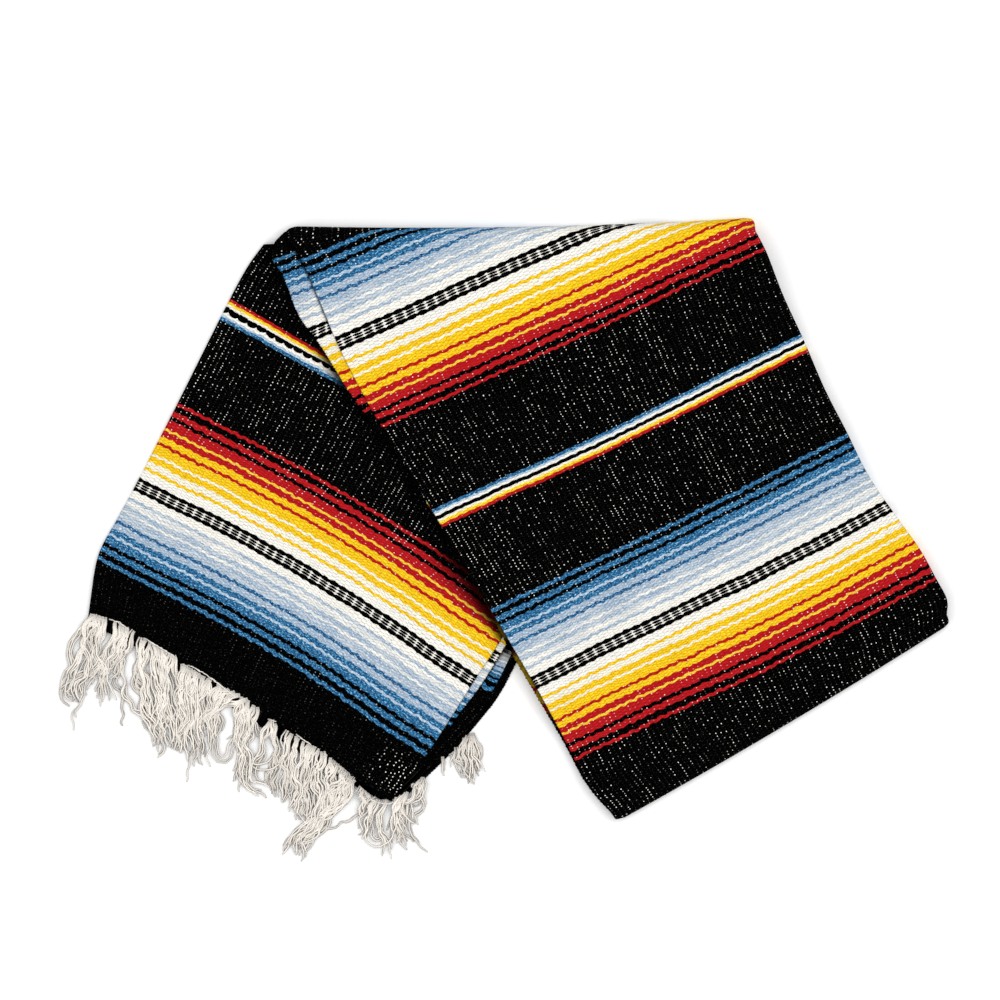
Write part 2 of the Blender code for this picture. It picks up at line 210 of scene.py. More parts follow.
# Yarn colours
BLACK = srgb(1, 1, 1)
BLUE = srgb(40, 104, 152)
DEEP_BLUE = srgb(44, 94, 142)
LIGHT_BLUE = srgb(160, 183, 206)
PALE = srgb(178, 202, 222)
WHITE = srgb(247, 244, 235)
CREAM = srgb(247, 241, 222)
YELLOW = srgb(250, 203, 20)
LEMON = srgb(250, 208, 66)
RED = srgb(184, 26, 32)
COTTON = srgb(250, 244, 235)
# painted shade: a strand's sides, darker than its lit top
COTTON_SHADED_SIDE = srgb(126, 114, 102)
SKY = srgb(124, 196, 232)
NAVY = srgb(14, 44, 92)
ORANGE = srgb(230, 146, 10)
SUN = srgb(255, 232, 70)

# Stripes of the wide band, from its blue side: where each yarn starts
WIDE = (
    (0.0, BLUE), (3.3, BLACK), (9.2, BLUE), (14.3, BLACK), (18.2, BLUE), (26.1, PALE), (28.4, BLUE),
    (34.5, LIGHT_BLUE), (40.5, DEEP_BLUE), (43.5, LIGHT_BLUE), (52.5, WHITE), (55.0, LIGHT_BLUE),
    (61.0, WHITE), (67.0, LIGHT_BLUE), (69.7, WHITE), (101.0, YELLOW), (104.5, CREAM), (110.5, YELLOW),
    (117.0, CREAM), (119.5, YELLOW), (128.5, RED), (132.0, YELLOW), (138.0, RED), (144.0, LEMON),
    (147.0, RED), (156.3, BLACK), (159.7, RED), (165.3, BLACK), (171.6, RED), (175.0, BLACK),
)
WIDE_STARTS = (55.0, 443.0, 834.0)
# and of the narrow band
NARROW = ((0.0, BLUE), (3.2, PALE), (5.0, WHITE), (7.4, BLACK), (11.4, CREAM), (13.7, SUN),
          (15.3, YELLOW), (17.0, RED), (20.2, BLACK))
NARROW_STARTS = (324.5, 716.5)
NARROW_LINE = 9.4  # middle of its black line, which is pinched at every second rib
NARROW_HALF = (2.0, 2.2, 2.6)  # half its width: where it is whole, with its rim, and with no specks
NARROW_PINCH = (0.3, 0.7)  # how deep, on the right leg and how much more on the left one
NECK_POWER = 5.0  # how short the pinch is along the line
LEFT_LEG_END = 400.0  # along
WIDE_RANGE = 200.0  # the stops are spread over this length
NARROW_RANGE = 40.0
BAND_EDGE = 3.0  # with this much black before the first
BAND_SWITCH = 60.0  # a band gives way to the next this far past halfway between their starts
BLEND = (57.0, 13.0)  # middle and half length of its picks of light blue and white in streaks
BLEND_SHARE = 0.35
CHECK_MIDDLE = 85.5  # of the check in the wide band
CHECK_HALF = 10.0  # with its white rim
CHECK_BLACK = (7.0, -0.45)  # half its black ground, and how far the scallops move its outline
CHECK_ROW = 2.6  # from one of its white lines to the next
CHECK_LINES = 3.9  # half of the three lines together
CHECK_THREAD = (0.14, 1.2, 3.4)  # half of a line's width between two dashes, its swelling and how sharp

# The weave
WARP = 5.35  # between two ribs, each over one cord of warp
PICK = 2.9  # between two picks that show on the same rib
PICK_DRIFT = 6.0
CLOTH_TONE = 0.94
# How far the edges of the stripes swing: by the warp, and by noise of a few lengths and of each rib
SCALLOP, WANDER, UNEVEN, JOG, FRAY = 0.55, 2.4, 2.8, 1.4, 1.5
# scales of the painted shade in the grooves between ribs and between picks
RIB_GROOVE, PICK_GROOVE = 1.38, 2.0
RIB_ROUND, PICK_ROUND = 2.6, 2.9  # of the relief, in radians over a rib and over a pick
DARKEST = 0.3
# Specks of white warp: where they start past the hem, and the corner at the hem that has more of them
HEM_SPECKS = (35.0, 120.0)
CORNER_SPECKS = ((355.0, 385.0), (60.0, 30.0), (5.0, 15.0))
SPECK_SIZE = (0.42, 0.2)  # the least, and what the likeliest add
SPECK_CHANCE = (0.3, 1.35)
LINT = 0.04
TWIST_LENGTH = 2.6  # of the fringe's cotton


def band_colour(sh, distance, table, length):
    """A band's colour at a distance from its start, with black on both sides."""
    stops = [(0.0, BLACK)] + [((start + BAND_EDGE) / length, colour) for start, colour in table]
    return sh.bands((distance + BAND_EDGE) / length, stops)


def picked(along, starts):
    """Distance from the start of the band that a point is nearest to, of a few starts."""
    start = starts[0]
    for previous, following in zip(starts[:-1], starts[1:]):
        start = start + (along > (previous + following) / 2 + BAND_SWITCH) * (following - previous)
    return along - start


def check_black(sh, offset, phase):
    from_column = abs(phase - 0.5)
    half, lobe = CHECK_BLACK
    ground = abs(offset) < sh.math("COSINE", from_column * (2 * pi)) * lobe + half
    row = sh.math("FRACT", (offset + CHECK_LINES) / CHECK_ROW) - 0.5
    thin, swelling, sharpness = CHECK_THREAD
    white = abs(row * CHECK_ROW) < thin + (1.0 - from_column * 2.0) ** sharpness * swelling
    return ground * (1.0 - white * (abs(offset) < CHECK_LINES))


def pinched(narrow, phase, along):
    """1 where the black line of the narrow band is pinched between its beads."""
    neck = (1.0 - abs(phase - 0.5) * 2.0) ** NECK_POWER
    depth = neck * (NARROW_PINCH[0] + (along < LEFT_LEG_END) * NARROW_PINCH[1])
    from_middle = abs(narrow - NARROW_LINE)
    return (from_middle > NARROW_HALF[0] - depth) * (from_middle < NARROW_HALF[1])


def cloth_material():
    """Weft-faced plain weave: stripes, check, ribs, picks and the cotton warp that shows between them."""
    sh = Shader("serape_cloth", roughness=0.95, gloss=0.01)
    across, along, shade = sh.parts("cloth")

    def patchy(across_scale, along_scale, seed=0.0, detail=2.0):
        """Noise with a scale across and a scale along."""
        return sh.noise(across * across_scale, along * along_scale, seed, detail=detail)

    # ribs and picks
    rib = across / WARP
    rib_number = sh.math("FLOOR", rib)
    rib_phase = sh.math("FRACT", rib) - 0.5
    pair_phase = sh.math("FRACT", rib * 0.5)
    stagger = sh.math("MODULO", rib_number, 2.0) * 0.5
    pick = along / PICK + stagger + patchy(0.02, 0.02) * PICK_DRIFT
    pick_number = sh.math("FLOOR", pick)
    pick_phase = sh.math("FRACT", pick) - 0.5
    # stripe edges are scalloped by the warp, and wander
    scallop = sh.math("COSINE", rib * pi) * SCALLOP
    wander = patchy(0.03, 0.02) * WANDER
    uneven = patchy(0.12, 0.05, 4.0, detail=1.0) * UNEVEN
    jog = sh.noise(rib_number, along * 0.2) * JOG
    frayed = patchy(1.1, 1.1, 5.0) * FRAY
    stripe = along + (scallop + frayed + (wander + (uneven + jog)))
    wide = picked(stripe, WIDE_STARTS)
    narrow = picked(along + (wander + (scallop + uneven + frayed) * 0.5), NARROW_STARTS)
    colour = band_colour(sh, wide, WIDE, WIDE_RANGE)
    fine = band_colour(sh, narrow, NARROW, NARROW_RANGE)
    fine = sh.mix(pinched(narrow, pair_phase, along), fine, WHITE)
    colour = sh.mix(1.0, colour, fine, "LIGHTEN")
    # light blue and white picks mixed in streaks
    streak = sh.noise(across * 0.03, stripe * 0.4, 9.0)
    blend = sh.mix(sh.ramp(streak, -0.05, 0.1), LIGHT_BLUE, WHITE)
    colour = sh.mix(sh.math("COMPARE", wide, *BLEND) * BLEND_SHARE, colour, blend)
    # check
    calm = wide - CHECK_MIDDLE - (scallop + (jog + uneven) * 0.5)
    in_check = sh.math("COMPARE", wide, CHECK_MIDDLE, CHECK_HALF)
    colour = sh.mix(check_black(sh, calm, pair_phase) * in_check, colour, BLACK)
    # flecks of other yarns: sky and navy in the blues, white in the light blues, orange in the yellow
    red_part, green_part, blue_part = sh.split("SeparateColor", colour)
    in_blue = sh.ramp(blue_part - red_part, 0.12, 0.22)
    in_yellow = sh.ramp(red_part - blue_part, 0.55, 0.75)
    is_light = sh.ramp(green_part, 0.25, 0.45)
    spot = patchy(0.42, 0.8, 2.0, detail=1.0)
    other = patchy(0.38, 0.8, 6.0, detail=1.0)
    lighter = in_blue * (sh.ramp(spot, 0.02, 0.12) * 0.9)
    darker = in_blue * sh.ramp(other, 0.0, 0.11)
    for share, yarn in ((lighter * (1.0 - is_light), SKY), (darker * (0.85 - is_light * 0.85), NAVY),
                        (lighter * is_light * 0.75, WHITE), (darker * is_light * 0.3, BLUE),
                        (in_yellow * (sh.ramp(other, 0.0, 0.13) * 0.7), ORANGE),
                        (in_yellow * (sh.ramp(spot, 0.0, 0.13) * 0.7), SUN)):
        colour = sh.mix(share, colour, yarn)
    # yarn: picks differ a little, with streaks and fine flecks, and painted shade in the grooves between
    # ribs and picks
    bead = sh.random(rib_number, pick_number, 2.0) - 0.5
    tone = CLOTH_TONE + bead * 0.1 + (streak * 0.16 + patchy(0.6, 1.2) * 0.7)
    groove = sh.math("MAXIMUM", abs(rib_phase * RIB_GROOVE), abs(pick_phase * PICK_GROOVE))
    groove_shade = sh.ramp(groove, 0.5, 1.0) * (0.35 + spot * 1.3)
    colour = sh.darkened(colour, sh.math("MAXIMUM", tone * (1.0 - groove_shade), DARKEST))
    # specks of white warp, one to a cell, most of them faint
    near_hem = 0.05 + sh.ramp(along, *HEM_SPECKS) * 0.95
    in_corner, below, above = CORNER_SPECKS
    corner = sh.ramp(across, *in_corner) * (sh.ramp(along, *below) * sh.ramp(along, *above))
    chance = sh.random(rib_number, pick_number, 1.0) + sh.random(rib_number, 7.0) * 0.35
    likely = sh.ramp(chance + patchy(0.012, 0.01) * 0.6 + corner * 0.4, *SPECK_CHANCE)
    size = SPECK_SIZE[0] + likely * SPECK_SIZE[1]
    sideways = (sh.random(rib_number, pick_number, 3.0) - 0.5) * (0.9 + corner * 2.0)
    distance = sh.math("SQRT", (rib_phase * WARP + sideways) ** 2.0 + (pick_phase * PICK) ** 2.0)
    speck = 1.0 - sh.ramp(distance, size * 0.6, size)
    on_dark = 1.0 - (sh.ramp(green_part, 0.02, 0.3) * 0.85 + sh.ramp(red_part, 0.2, 0.4) * 0.1)
    on_line = sh.math("COMPARE", narrow, NARROW_LINE, NARROW_HALF[2])
    on_dark = on_dark * (1.0 - sh.math("MAXIMUM", in_check, on_line))
    bright = speck * sh.math("MAXIMUM", near_hem, corner) * (likely ** 2.8 * 1.6 + 0.015) * on_dark
    colour = sh.mix(sh.math("MINIMUM", bright, 1.0), colour, WHITE, "LIGHTEN")
    # painted shade that the mesh holds: along edges, at the strips' steps, under the wall and beside the
    # right leg
    colour = sh.darkened(colour, shade)
    # grey fuzz on the black
    lint = patchy(0.8, 0.8, 8.0, detail=3.0)
    colour = sh.mix(sh.ramp(lint, 0.08, 0.3) * LINT, colour, WHITE, "LIGHTEN")
    sh.put(sh.surface["Base Color"], colour)
    # relief: rounded picks on rounded ribs
    rib_height = sh.math("COSINE", rib_phase * RIB_ROUND) * 0.35
    pick_height = sh.math("COSINE", pick_phase * PICK_ROUND) * 0.4
    fuzz = sh.noise(across, along, scale=2.2, detail=3.0) * 0.35
    sh.bump(rib_height + pick_height + fuzz, 0.0011, 0.9)
    return sh.material


def cotton_material():
    """Undyed plied cotton: a twist round each strand, slubs, and painted light: a lit top and shaded
    sides.
    """
    sh = Shader("fringe_cotton", roughness=0.9)
    up, along, shade = sh.parts("yarn")
    slub = sh.noise(along * 0.09, shade * 40.0, detail=3.0)
    twist = sh.math("SINE", along * (2 * pi / TWIST_LENGTH) + up * 2.2)
    # painted light: the top of each strand lighter and its sides darker, then the mesh's shade, painted
    # darker at the roots and low down
    colour = sh.mix(sh.ramp(up, 0.0, 0.9), COTTON_SHADED_SIDE, COTTON)
    sh.put(sh.surface["Base Color"], sh.darkened(colour, shade * (1.0 + (slub * 0.3 + twist * 0.04))))
    sh.bump(twist, 0.0003, 0.7)
    return sh.material


# ---------------------------------------------------------------- the form of the cloth
LAYER = 3.0
GAP = 0.3
WALL = 2.7
CLEAR = 0.2  # with LAYER, from the right leg's upper face down to the layers inside its wall
LEFT_TOP = 9.0
RIGHT_HEIGHT = 18.0
SAG_START = 32.0  # past the left leg's edge the right leg sags, over SAG_RUN
SAG_RUN = 50.0
SWELL = 0.35
SWELL_LENGTH = 260.0
# Folds: reach at the ends of their line, more at its middle, then length and loss at each corner
TOP_FOLD = (13.5, -5.3, (24.0, 9.0), (9.0, 3.0))
END_FOLD = (9.5, 3.0, (9.0, 3.0), (9.0, 3.0))
PILE_END = 0.6
CORNER_LOSS = 3.0  # most that the inner layers' fold draws back at a corner
CORNER_CUT = 12.0  # the top left corner is cut off aslant over this length,
CORNER_KEPT = 7.5  # where the wall's fold reaches out further than this
FOLD_RINGS = 22  # of the wall, round a fold
TOP_FOLD_TURNS = np.radians((72, 62, 50, 42, 34, 25, 12))  # of the layers in the wall
END_FOLD_TURNS = np.radians((12, 25, 38, 50))
FOLD_INSET = 3.5  # of their right side, round a fold
FOLD_LEFT = (0.8, 0.6)  # they reach further this far past the wall's left edge, and from there over this
# How far the lower layers' hem comes out past the top layer's, at the four points of its line
HEM_PEEK = np.array(((-2.0, -12.0), (-4.5, -11.0), (-5.5, -11.0), (-1.5, -2.5)))
WIDTH = 406.0  # of a leg, along the stripes
ROW = 1.5  # distance between two rows of faces

LEFT_ROWS = (
    # along  left edge      one third      two thirds     right edge     lower layers   shown
    (0, (-417, -70), (-320, -121), (-219, -188), (-114, -260), (-97, -252), 8),
    (55, (-408, -15), (-300, -72), (-193, -136), (-78, -212), (-53, -211), 20),
    (98.75, (-388, 24), (-277, -34), (-167, -99), (-53, -174), (-31, -186), 25),
    (142.5, (-368, 61), (-255, 3), (-143, -63), (-30, -138), (-6, -154), 26),
    (186, (-348, 100), (-242, 45), (-128, -21), (-6, -101), (15, -114), 21),
    (230, (-328, 139), (-213, 78), (-98, 10), (16, -64), (36, -75), 20),
    (336, (-281, 233), (-164, 170), (-48, 104), (69, 29), (88, 18), 20),
    (382, (-259, 274), (-125, 240), (10, 202), (147, 162), (165, 150), 20),
    (411, (-242, 298), (-84, 302), (73, 304), (229, 305), (243, 302), 20),
)
LAST_WEFT_ROW = 6  # past this row the lines fan out and aren't parallel to the weft
HEM_ROWS = 1  # the lower layers' hem comes out over this many rows
RIGHT_ROWS = (
    # left edge     right edge    inner layers' left edge
    ((-219, 303), (250, 311), (-230, 300)),
    ((-208, 289), (257, 298), (-232, 282)),
    ((-200, 275), (263, 285), (-221, 265)),
    ((-184, 238), (277, 249), (-206, 227)),
    ((-164, 191), (298, 204), (-184, 196)),
    ((-133, 132), (320, 153), (-150, 142)),
    ((-100, 78), (342, 110), (-101, 78)),
    ((-67, 22), (358, 77), (-68, 22)),
    ((-31, -39), (373, 52), (-31, -39)),
    ((5, -100), (392, 25), (1, -101)),
    ((34, -150), (415, -7), (30, -151)),
    ((60, -198), (431, -36), (58, -199)),
    ((83, -243), (442, -57), (82, -243)),
    ((107, -272), (442, -73), (107, -272)),
)
# Weft lines of the right leg, which sag and rise a little: along, and the line's Y at each X
RIGHT_WEFT_X = (-150, -70, 10, 90, 170, 250, 330, 410)
RIGHT_WEFT = (
    (380.0, 376.2, 411.3, 446.4, 481.4, 516.5, 551.6, 586.7, 621.7),
    (480.0, 263.2, 297.4, 332.5, 367.6, 402.7, 437.7, 472.8, 507.9),
    (530.0, 203.2, 238.9, 275.4, 309.6, 344.6, 379.7, 414.8, 449.8),
    (588.0, 134.0, 169.8, 206.1, 242.5, 281.6, 318.5, 353.6, 388.6),
    (726.5, -14.3, 23.2, 59.2, 94.4, 134.2, 174.8, 214.7, 253.2),
    (861.0, -163.8, -123.9, -84.0, -45.0, -7.5, 32.5, 74.0, 114.9),
    (921.0, -231.9, -192.0, -152.1, -111.7, -73.8, -35.6, 5.4, 49.0),
    (980.0, -295.5, -255.6, -215.7, -176.3, -138.3, -101.6, -60.6, -17.0),
    (1100.0, -429.1, -389.2, -349.4, -310.0, -271.9, -235.2, -194.3, -150.6),
)
# How far the left leg's stripes lie past their line, at each share across
LEFT_WAVE_SHARES = (0.0, 0.1, 0.25, 0.5, 0.7, 0.9, 1.0)
LEFT_WAVE = (
    # along
    (82.0, -2.0, -3.5, -2.0, -0.5, -1.2, -4.0, -3.0),
    (142.0, -1.0, -1.5, 0.0, 0.7, 0.2, -1.3, 0.0),
    (201.0, 0.0, 0.0, 1.2, 1.6, 1.1, -0.9, 0.5),
    (334.0, 1.5, 1.5, 1.5, 1.5, 1.5, 1.5, 1.5),
)
# The narrow band is wider there: along on the leg, and along in the band's own table
LEFT_NARROW = ((0.0, 318.0, 323.3, 331.2, 338.3, 340.6, 343.5, 346.6, 351.0, 999.0),
               (0.0, 318.0, 324.5, 331.9, 335.9, 338.2, 341.5, 344.7, 351.0, 999.0))
# Weft of the strips of lower layers that show: a point, the way down, and pairs of distance and along
SECOND_STRIP = ((-11, -113), (-0.501, -0.866), ((-40, 184), (140, -3)))
THIRD_STRIP = ((3, -110), (-0.432, -0.902),
               ((-20, 165), (0, 142), (6, 120), (12.6, 107), (21, 89.5), (29, 73), (35.5, 61),
                (42, 56.5), (48, 51), (140, -40)))
THIRD_SHADE = ((-122, -110), (1.0, 0.25))  # Y, and the painted shade of the third strip there
HEM_STRIP = ((3, -110), (-0.432, -0.902), ((-20, 50), (140, -110)))
PEEK_STRIP = ((14, -123), (0.58, -0.81),
              ((-130, 985), (-50, 985), (-44, 958), (-30, 955), (-27, 1000), (-15, 1000), (-9, 954),
               (22, 962), (23, 963), (30, 965.5), (31, 966.5), (42, 971.5), (43, 973), (54, 977),
               (56, 991), (60, 992), (62, 1012), (160, 1115)))
PEEK_ROW = 7.6  # the strip that shows beside the left leg starts at this row
PEEK_SHADE = ((0.0, 6.5, 7.4, 9.15, 9.3), (1.0, 1.0, 0.08, 0.05, 0.18))  # row, and the painted shade on the strip there
# Shade beside the right leg: distance from its edge with shade there, and Y with how wide it is there
BESIDE_SHADE = ((0.0, 5.0, 9.0, 13.0, 18.0, 24.0), (0.04, 0.06, 0.25, 0.5, 0.8, 1.0))
BESIDE_WIDTH = ((-100.0, -75.0, -45.0, -20.0, 5.0, 50.0, 200.0), (0.35, 0.75, 1.3, 1.5, 0.9, 0.8, 0.5))
# The strip at the top left shows the same stripes this much higher: at Y, by how much
TOP_STRIP_SHIFT = ((196.0, 212.0, 290.0), (23.0, 21.5, 11.0))
INNER_SHIFT = 5.0  # of the stripes inside the right leg, along
STRIP_SHIFT = 0.2  # of the ribs of the left leg's strips, as a share across


def columns(table, *picked_columns):
    """The picked columns of a table of plan points, as an array of rows."""
    return np.array([[row[k] for k in picked_columns] for row in table], float)


LEFT_WALL = columns(LEFT_ROWS, 1, 2, 3, 4)
LEFT_PILE = columns(LEFT_ROWS, 1, 2, 3, 5)
LEFT_ALONG = np.array([row[0] for row in LEFT_ROWS], float)
LEFT_SHOWN = np.array([[row[6]] for row in LEFT_ROWS], float)
RIGHT_WALL = columns(RIGHT_ROWS, 0, 1)
RIGHT_PILE = columns(RIGHT_ROWS, 2, 1)


def clamp(values):
    return np.clip(values, 0.0, 1.0)


def unit(vectors):
    """Vectors, one to a row, at a length of 1."""
    return vectors / norm(vectors, axis=-1, keepdims=True)


def through_rows(rows, t):
    """Point sets of a table at t, counted in rows, on a smooth curve through every row."""
    i = min(max(int(t), 0), len(rows) - 2)
    f = t - i
    a, b = rows[i], rows[i + 1]
    before = rows[i - 1] if i > 0 else 2 * a - b
    after = rows[i + 2] if i + 2 < len(rows) else 2 * b - a
    slope_a, slope_b = (b - before) / 2, (after - a) / 2
    return ((2 * f**3 - 3 * f**2 + 1) * a + (f**3 - 2 * f**2 + f) * slope_a
            + (3 * f**2 - 2 * f**3) * b + (f**3 - f**2) * slope_b)


def across_line(points, shares):
    """Points at shares of a line that passes through evenly spaced points."""
    nodes = np.linspace(0.0, 1.0, len(points))
    total = np.zeros((len(shares), 2))
    for k, point in enumerate(points):
        weight = np.ones(len(shares))
        for other in np.delete(nodes, k):
            weight = weight * (shares - other) / (nodes[k] - other)
        total += weight[:, None] * point
    return total


def left_top(p):
    """Height of the left leg's upper face."""
    x, y = 2 * pi * p[:, 0] / SWELL_LENGTH, 2 * pi * p[:, 1] / SWELL_LENGTH
    return LEFT_TOP + SWELL * np.sin(x) * np.cos(y)


def past_edge(p, edge):
    """How far plan points lie past an edge, on the right as it runs from its first point on."""
    best = np.full(len(p), np.inf)
    for a, b in zip(edge[:-1], edge[1:]):
        run = b - a
        off = p - (a + clamp((p - a) @ run / (run @ run))[:, None] * run)
        distance = np.hypot(off[:, 0], off[:, 1])
        side = np.sign(run[1] * off[:, 0] - run[0] * off[:, 1])
        best = np.where(distance < np.abs(best), side * distance, best)
    return best


def right_bottom(p):
    """Height of the right leg's lower face: on the left leg, and down to the surface beside it."""
    share = clamp((past_edge(p, LEFT_PILE[:, -1]) - SAG_START) / SAG_RUN)
    return (left_top(p) + GAP) * (0.5 + 0.5 * np.cos(pi * share))


def right_top(p):
    """Height of the right leg's upper face."""
    return right_bottom(p) + RIGHT_HEIGHT


def outward(line, sense):
    """Unit plan vector square to a line of points, away from the leg."""
    chord = line[-1] - line[0]
    return unit(sense * np.array((-chord[1], chord[0])))


LAST_ROW = len(RIGHT_WALL) - 1
AHEAD, AWAY = outward(RIGHT_WALL[0], 1), outward(RIGHT_WALL[LAST_ROW], -1)  # out of the two folds


def fold_reach(p, line, fold):
    """How far a fold reaches at plan points of the line where it starts to turn."""
    ends, more, left, right = fold
    run = line[-1] - line[0]
    width = norm(run)
    share = (p - line[0]) @ run / width**2
    reach = ends + 4 * more * share * (1 - share)
    for (length, loss), part in ((left, share), (right, 1 - share)):
        reach = reach - loss * np.maximum(1 - part * width / length, 0.0)**2
    return reach


def cut_corner(p, start, run, shift):
    """Plan points of a fold moved along its line at the left corner, less and less over CORNER_CUT."""
    direction = unit(run)
    near = clamp(1 - (p - start) @ direction / CORNER_CUT)
    return p + direction * (shift * near)[:, None]


def left_weft(p, t, shares):
    """Along, for points of the left leg at shares of the line at t."""
    if t <= LAST_WEFT_ROW:
        along = np.full(len(p), float(through_rows(LEFT_ALONG[:, None], t)[0]))
    else:
        line = LEFT_WALL[LAST_WEFT_ROW]
        along = LEFT_ALONG[LAST_WEFT_ROW] + (p - line[0]) @ outward(line, 1)
    waves_at = np.transpose([np.interp(shares, LEFT_WAVE_SHARES, row[1:]) for row in LEFT_WAVE])
    places = [row[0] for row in LEFT_WAVE]
    along = along - np.array([np.interp(a, places, column) for a, column in zip(along, waves_at)])
    return np.interp(along, *LEFT_NARROW)


def right_weft(p):
    """Along, for plan points of the right leg laid out flat."""
    table = np.array(RIGHT_WEFT)
    result = np.empty(len(p))
    for k, (x, y) in enumerate(p):
        place = np.clip(np.searchsorted(RIGHT_WEFT_X, x), 1, len(RIGHT_WEFT_X) - 1)
        before, after = RIGHT_WEFT_X[place - 1], RIGHT_WEFT_X[place]
        share = (x - before) / (after - before)
        heights = table[:, place] + (table[:, place + 1] - table[:, place]) * share
        result[k] = np.interp(-y, -heights, table[:, 0])
    return result


def strip_weft(p, strip):
    """Along, for points of a strip of lower layers that shows."""
    start, down, places = strip
    distances, alongs = np.array(places, float).T
    return np.interp((p - start) @ np.array(down), distances, alongs)


# Creases and soft waves: from, to, width and height, all low and uneven along their length
CREASE_WAVE = (0.8, 0.2, 7.0)
CREASES = (
    ((-395, -60), (-330, 60), 16, 0.5),
    ((-404, -20), (-285, 190), 9, 0.45),
    ((-360, -60), (-210, -135), 26, 0.5),
    ((-180, 40), (-60, -60), 40, 0.45),
    ((-250, 150), (-120, 60), 30, 0.35),
    ((-110, -180), (-60, -90), 18, 0.4),
    ((-150, 280), (60, 290), 14, 0.5),
    ((60, 296), (230, 296), 10, 0.45),
    ((-80, 180), (120, 250), 36, 0.5),
    ((40, 60), (230, 160), 44, 0.5),
    ((60, -120), (260, -40), 38, 0.55),
    ((150, -215), (330, -110), 22, 0.6),
    ((300, 60), (400, -40), 24, 0.5),
    ((120, -250), (400, -85), 8, 0.5),
    ((0, 0), (110, 60), 26, 0.4),
    ((200, 250), (290, 120), 20, 0.5),
)


def creases(p):
    """Height that the listed creases and waves add at plan points."""
    total = np.zeros(len(p))
    mean, more, turns = CREASE_WAVE
    for start, end, width, height in CREASES:
        a, run = np.array(start, float), np.subtract(end, start).astype(float)
        share = (p - a) @ run / (run @ run)
        off = p - (a + clamp(share)[:, None] * run)
        total += height * np.exp(-(off**2).sum(1) / width**2) * (mean + more * np.sin(turns * share))
    return total


# ---------------------------------------------------------------- building rings of points
def add_mesh(name, points, faces, attribute, values):
    """A smooth mesh of points in millimetres, with three numbers at each that its material reads."""
    mesh = bpy.data.meshes.new(name)
    mesh.from_pydata((points * MM).tolist(), [], faces)
    mesh.validate()
    layer = mesh.attributes.new(attribute, "FLOAT_VECTOR", "POINT")
    layer.data.foreach_set("vector", values.reshape(-1).astype(np.float32))
    mesh.shade_smooth()
    mesh.update()
    return add_object(name, mesh)


def tube_faces(number, turned=False):
    """Faces between rings of point numbers, as number[ring, place]; turned, they look the other way."""
    following = np.roll(number, -1, axis=1)
    b, d = (number[1:], following[:-1]) if turned else (following[:-1], number[1:])
    return np.stack([number[:-1], b, following[1:], d], axis=-1).reshape(-1, 4).tolist()


def add_piece(name, rings, caps):
    """A closed cloth mesh from rings of (points, numbers for its material)."""
    points, cloth = np.array([ring[0] for ring in rings]), np.array([ring[1] for ring in rings])
    number = np.arange(points.shape[0] * points.shape[1]).reshape(points.shape[:2])
    faces = tube_faces(number)
    for ring, order in ((number[0], -1), (number[-1], 1)):
        faces += [[int(ring[k]) for k in face][::order] for face in caps]
    item = add_mesh(name, points.reshape(-1, 3), faces, "cloth", cloth)
    item.data.set_sharp_from_angle(angle=radians(SHARP_ANGLE))
    return item


SHARP_ANGLE = 50
MIDDLE = np.linspace(0.0, 1.0, 64)
COLUMN_INSET = 9.0
TURN = np.radians(np.linspace(0, 90, 6))
IN, UP = 1 - np.cos(TURN), np.sin(TURN)
# Edges of a wall from the edge inwards: inset and drop of the outer face, and of the inner face
SELVEDGE = (1.3 * IN, 1.25 - 1.25 * UP, 1.3 * IN, 1.45 + 1.25 * UP)
FOLD_LIP = (3.2 * IN, 5.4 - 5.4 * UP, 2.7 + 2.1 * IN, 5.4 - 2.7 * UP)
NUB_FADE = 1.2  # how soon the weft's turns die away from a wall's edge
PILE_NUB_FADE = 1.5
EDGE_SHADE = (0.006, 0.55, 0.9)  # painted shade: share of the width that is darker, by how much, and from which drop


def wall_caps(size):
    """Faces that close an end of a wall: its outer points to its inner ones."""
    half = size // 2
    return [(k, k + 1, size - 2 - k, size - 1 - k) for k in range(half - 1)]


def wall_ring(line, left_edge, right_edge, nubs):
    """Plan points, drops and shares across of a wall's ring: the outer face, and back on the inner one.

    nubs are how far the weft's turns stand out of the left and the right edge.
    """
    width = norm(line[-1] - line[0])
    inset = COLUMN_INSET / width
    middle = inset + (1 - 2 * inset) * MIDDLE
    shares, drops = [], []
    for side, drop, order in ((0, 0.0, 1), (2, WALL, -1)):
        left, right = [edge[side] - np.exp(-edge[side] / NUB_FADE) * nub
                       for edge, nub in zip((left_edge, right_edge), nubs)]
        shares += [np.concatenate([left / width, middle, 1 - right[::-1] / width])[::order]]
        drops += [np.concatenate([left_edge[side + 1], np.full(len(middle), drop),
                                  right_edge[side + 1][::-1]])[::order]]
    shares, drops = np.concatenate(shares), np.concatenate(drops)
    return across_line(line, shares), drops, shares


def row_numbers(table, until=99):
    """Where rows of faces lie, counted in rows of the table, about ROW apart."""
    result = [0.0]
    for k, (a, b) in enumerate(zip(table[:-1], table[1:])):
        left, right = norm(b[0] - a[0]), norm(b[-1] - a[-1])
        count = int(round((left if k >= until else (left + right) / 2) / ROW))
        result += list(k + (np.arange(count) + 1) / count)
    return result


def turns_of_weft(count, height):
    """How far the weft's turns stand out of an edge, row by row."""
    sign = np.where(np.arange(count) % 2, 1.0, -0.4)
    return height * (sign * rng.uniform(0.4, 1.2, count) + rng.normal(0, 0.25, count))


def edge_shade(shares, drops, side):
    """Painted shade along the turned under edge of a wall: side is 0 for its left edge and 1 for its
    right.
    """
    width, less, drop = EDGE_SHADE
    return np.where(np.abs(shares - side) < width, 1.0 - less * clamp(drops / drop), 1.0)


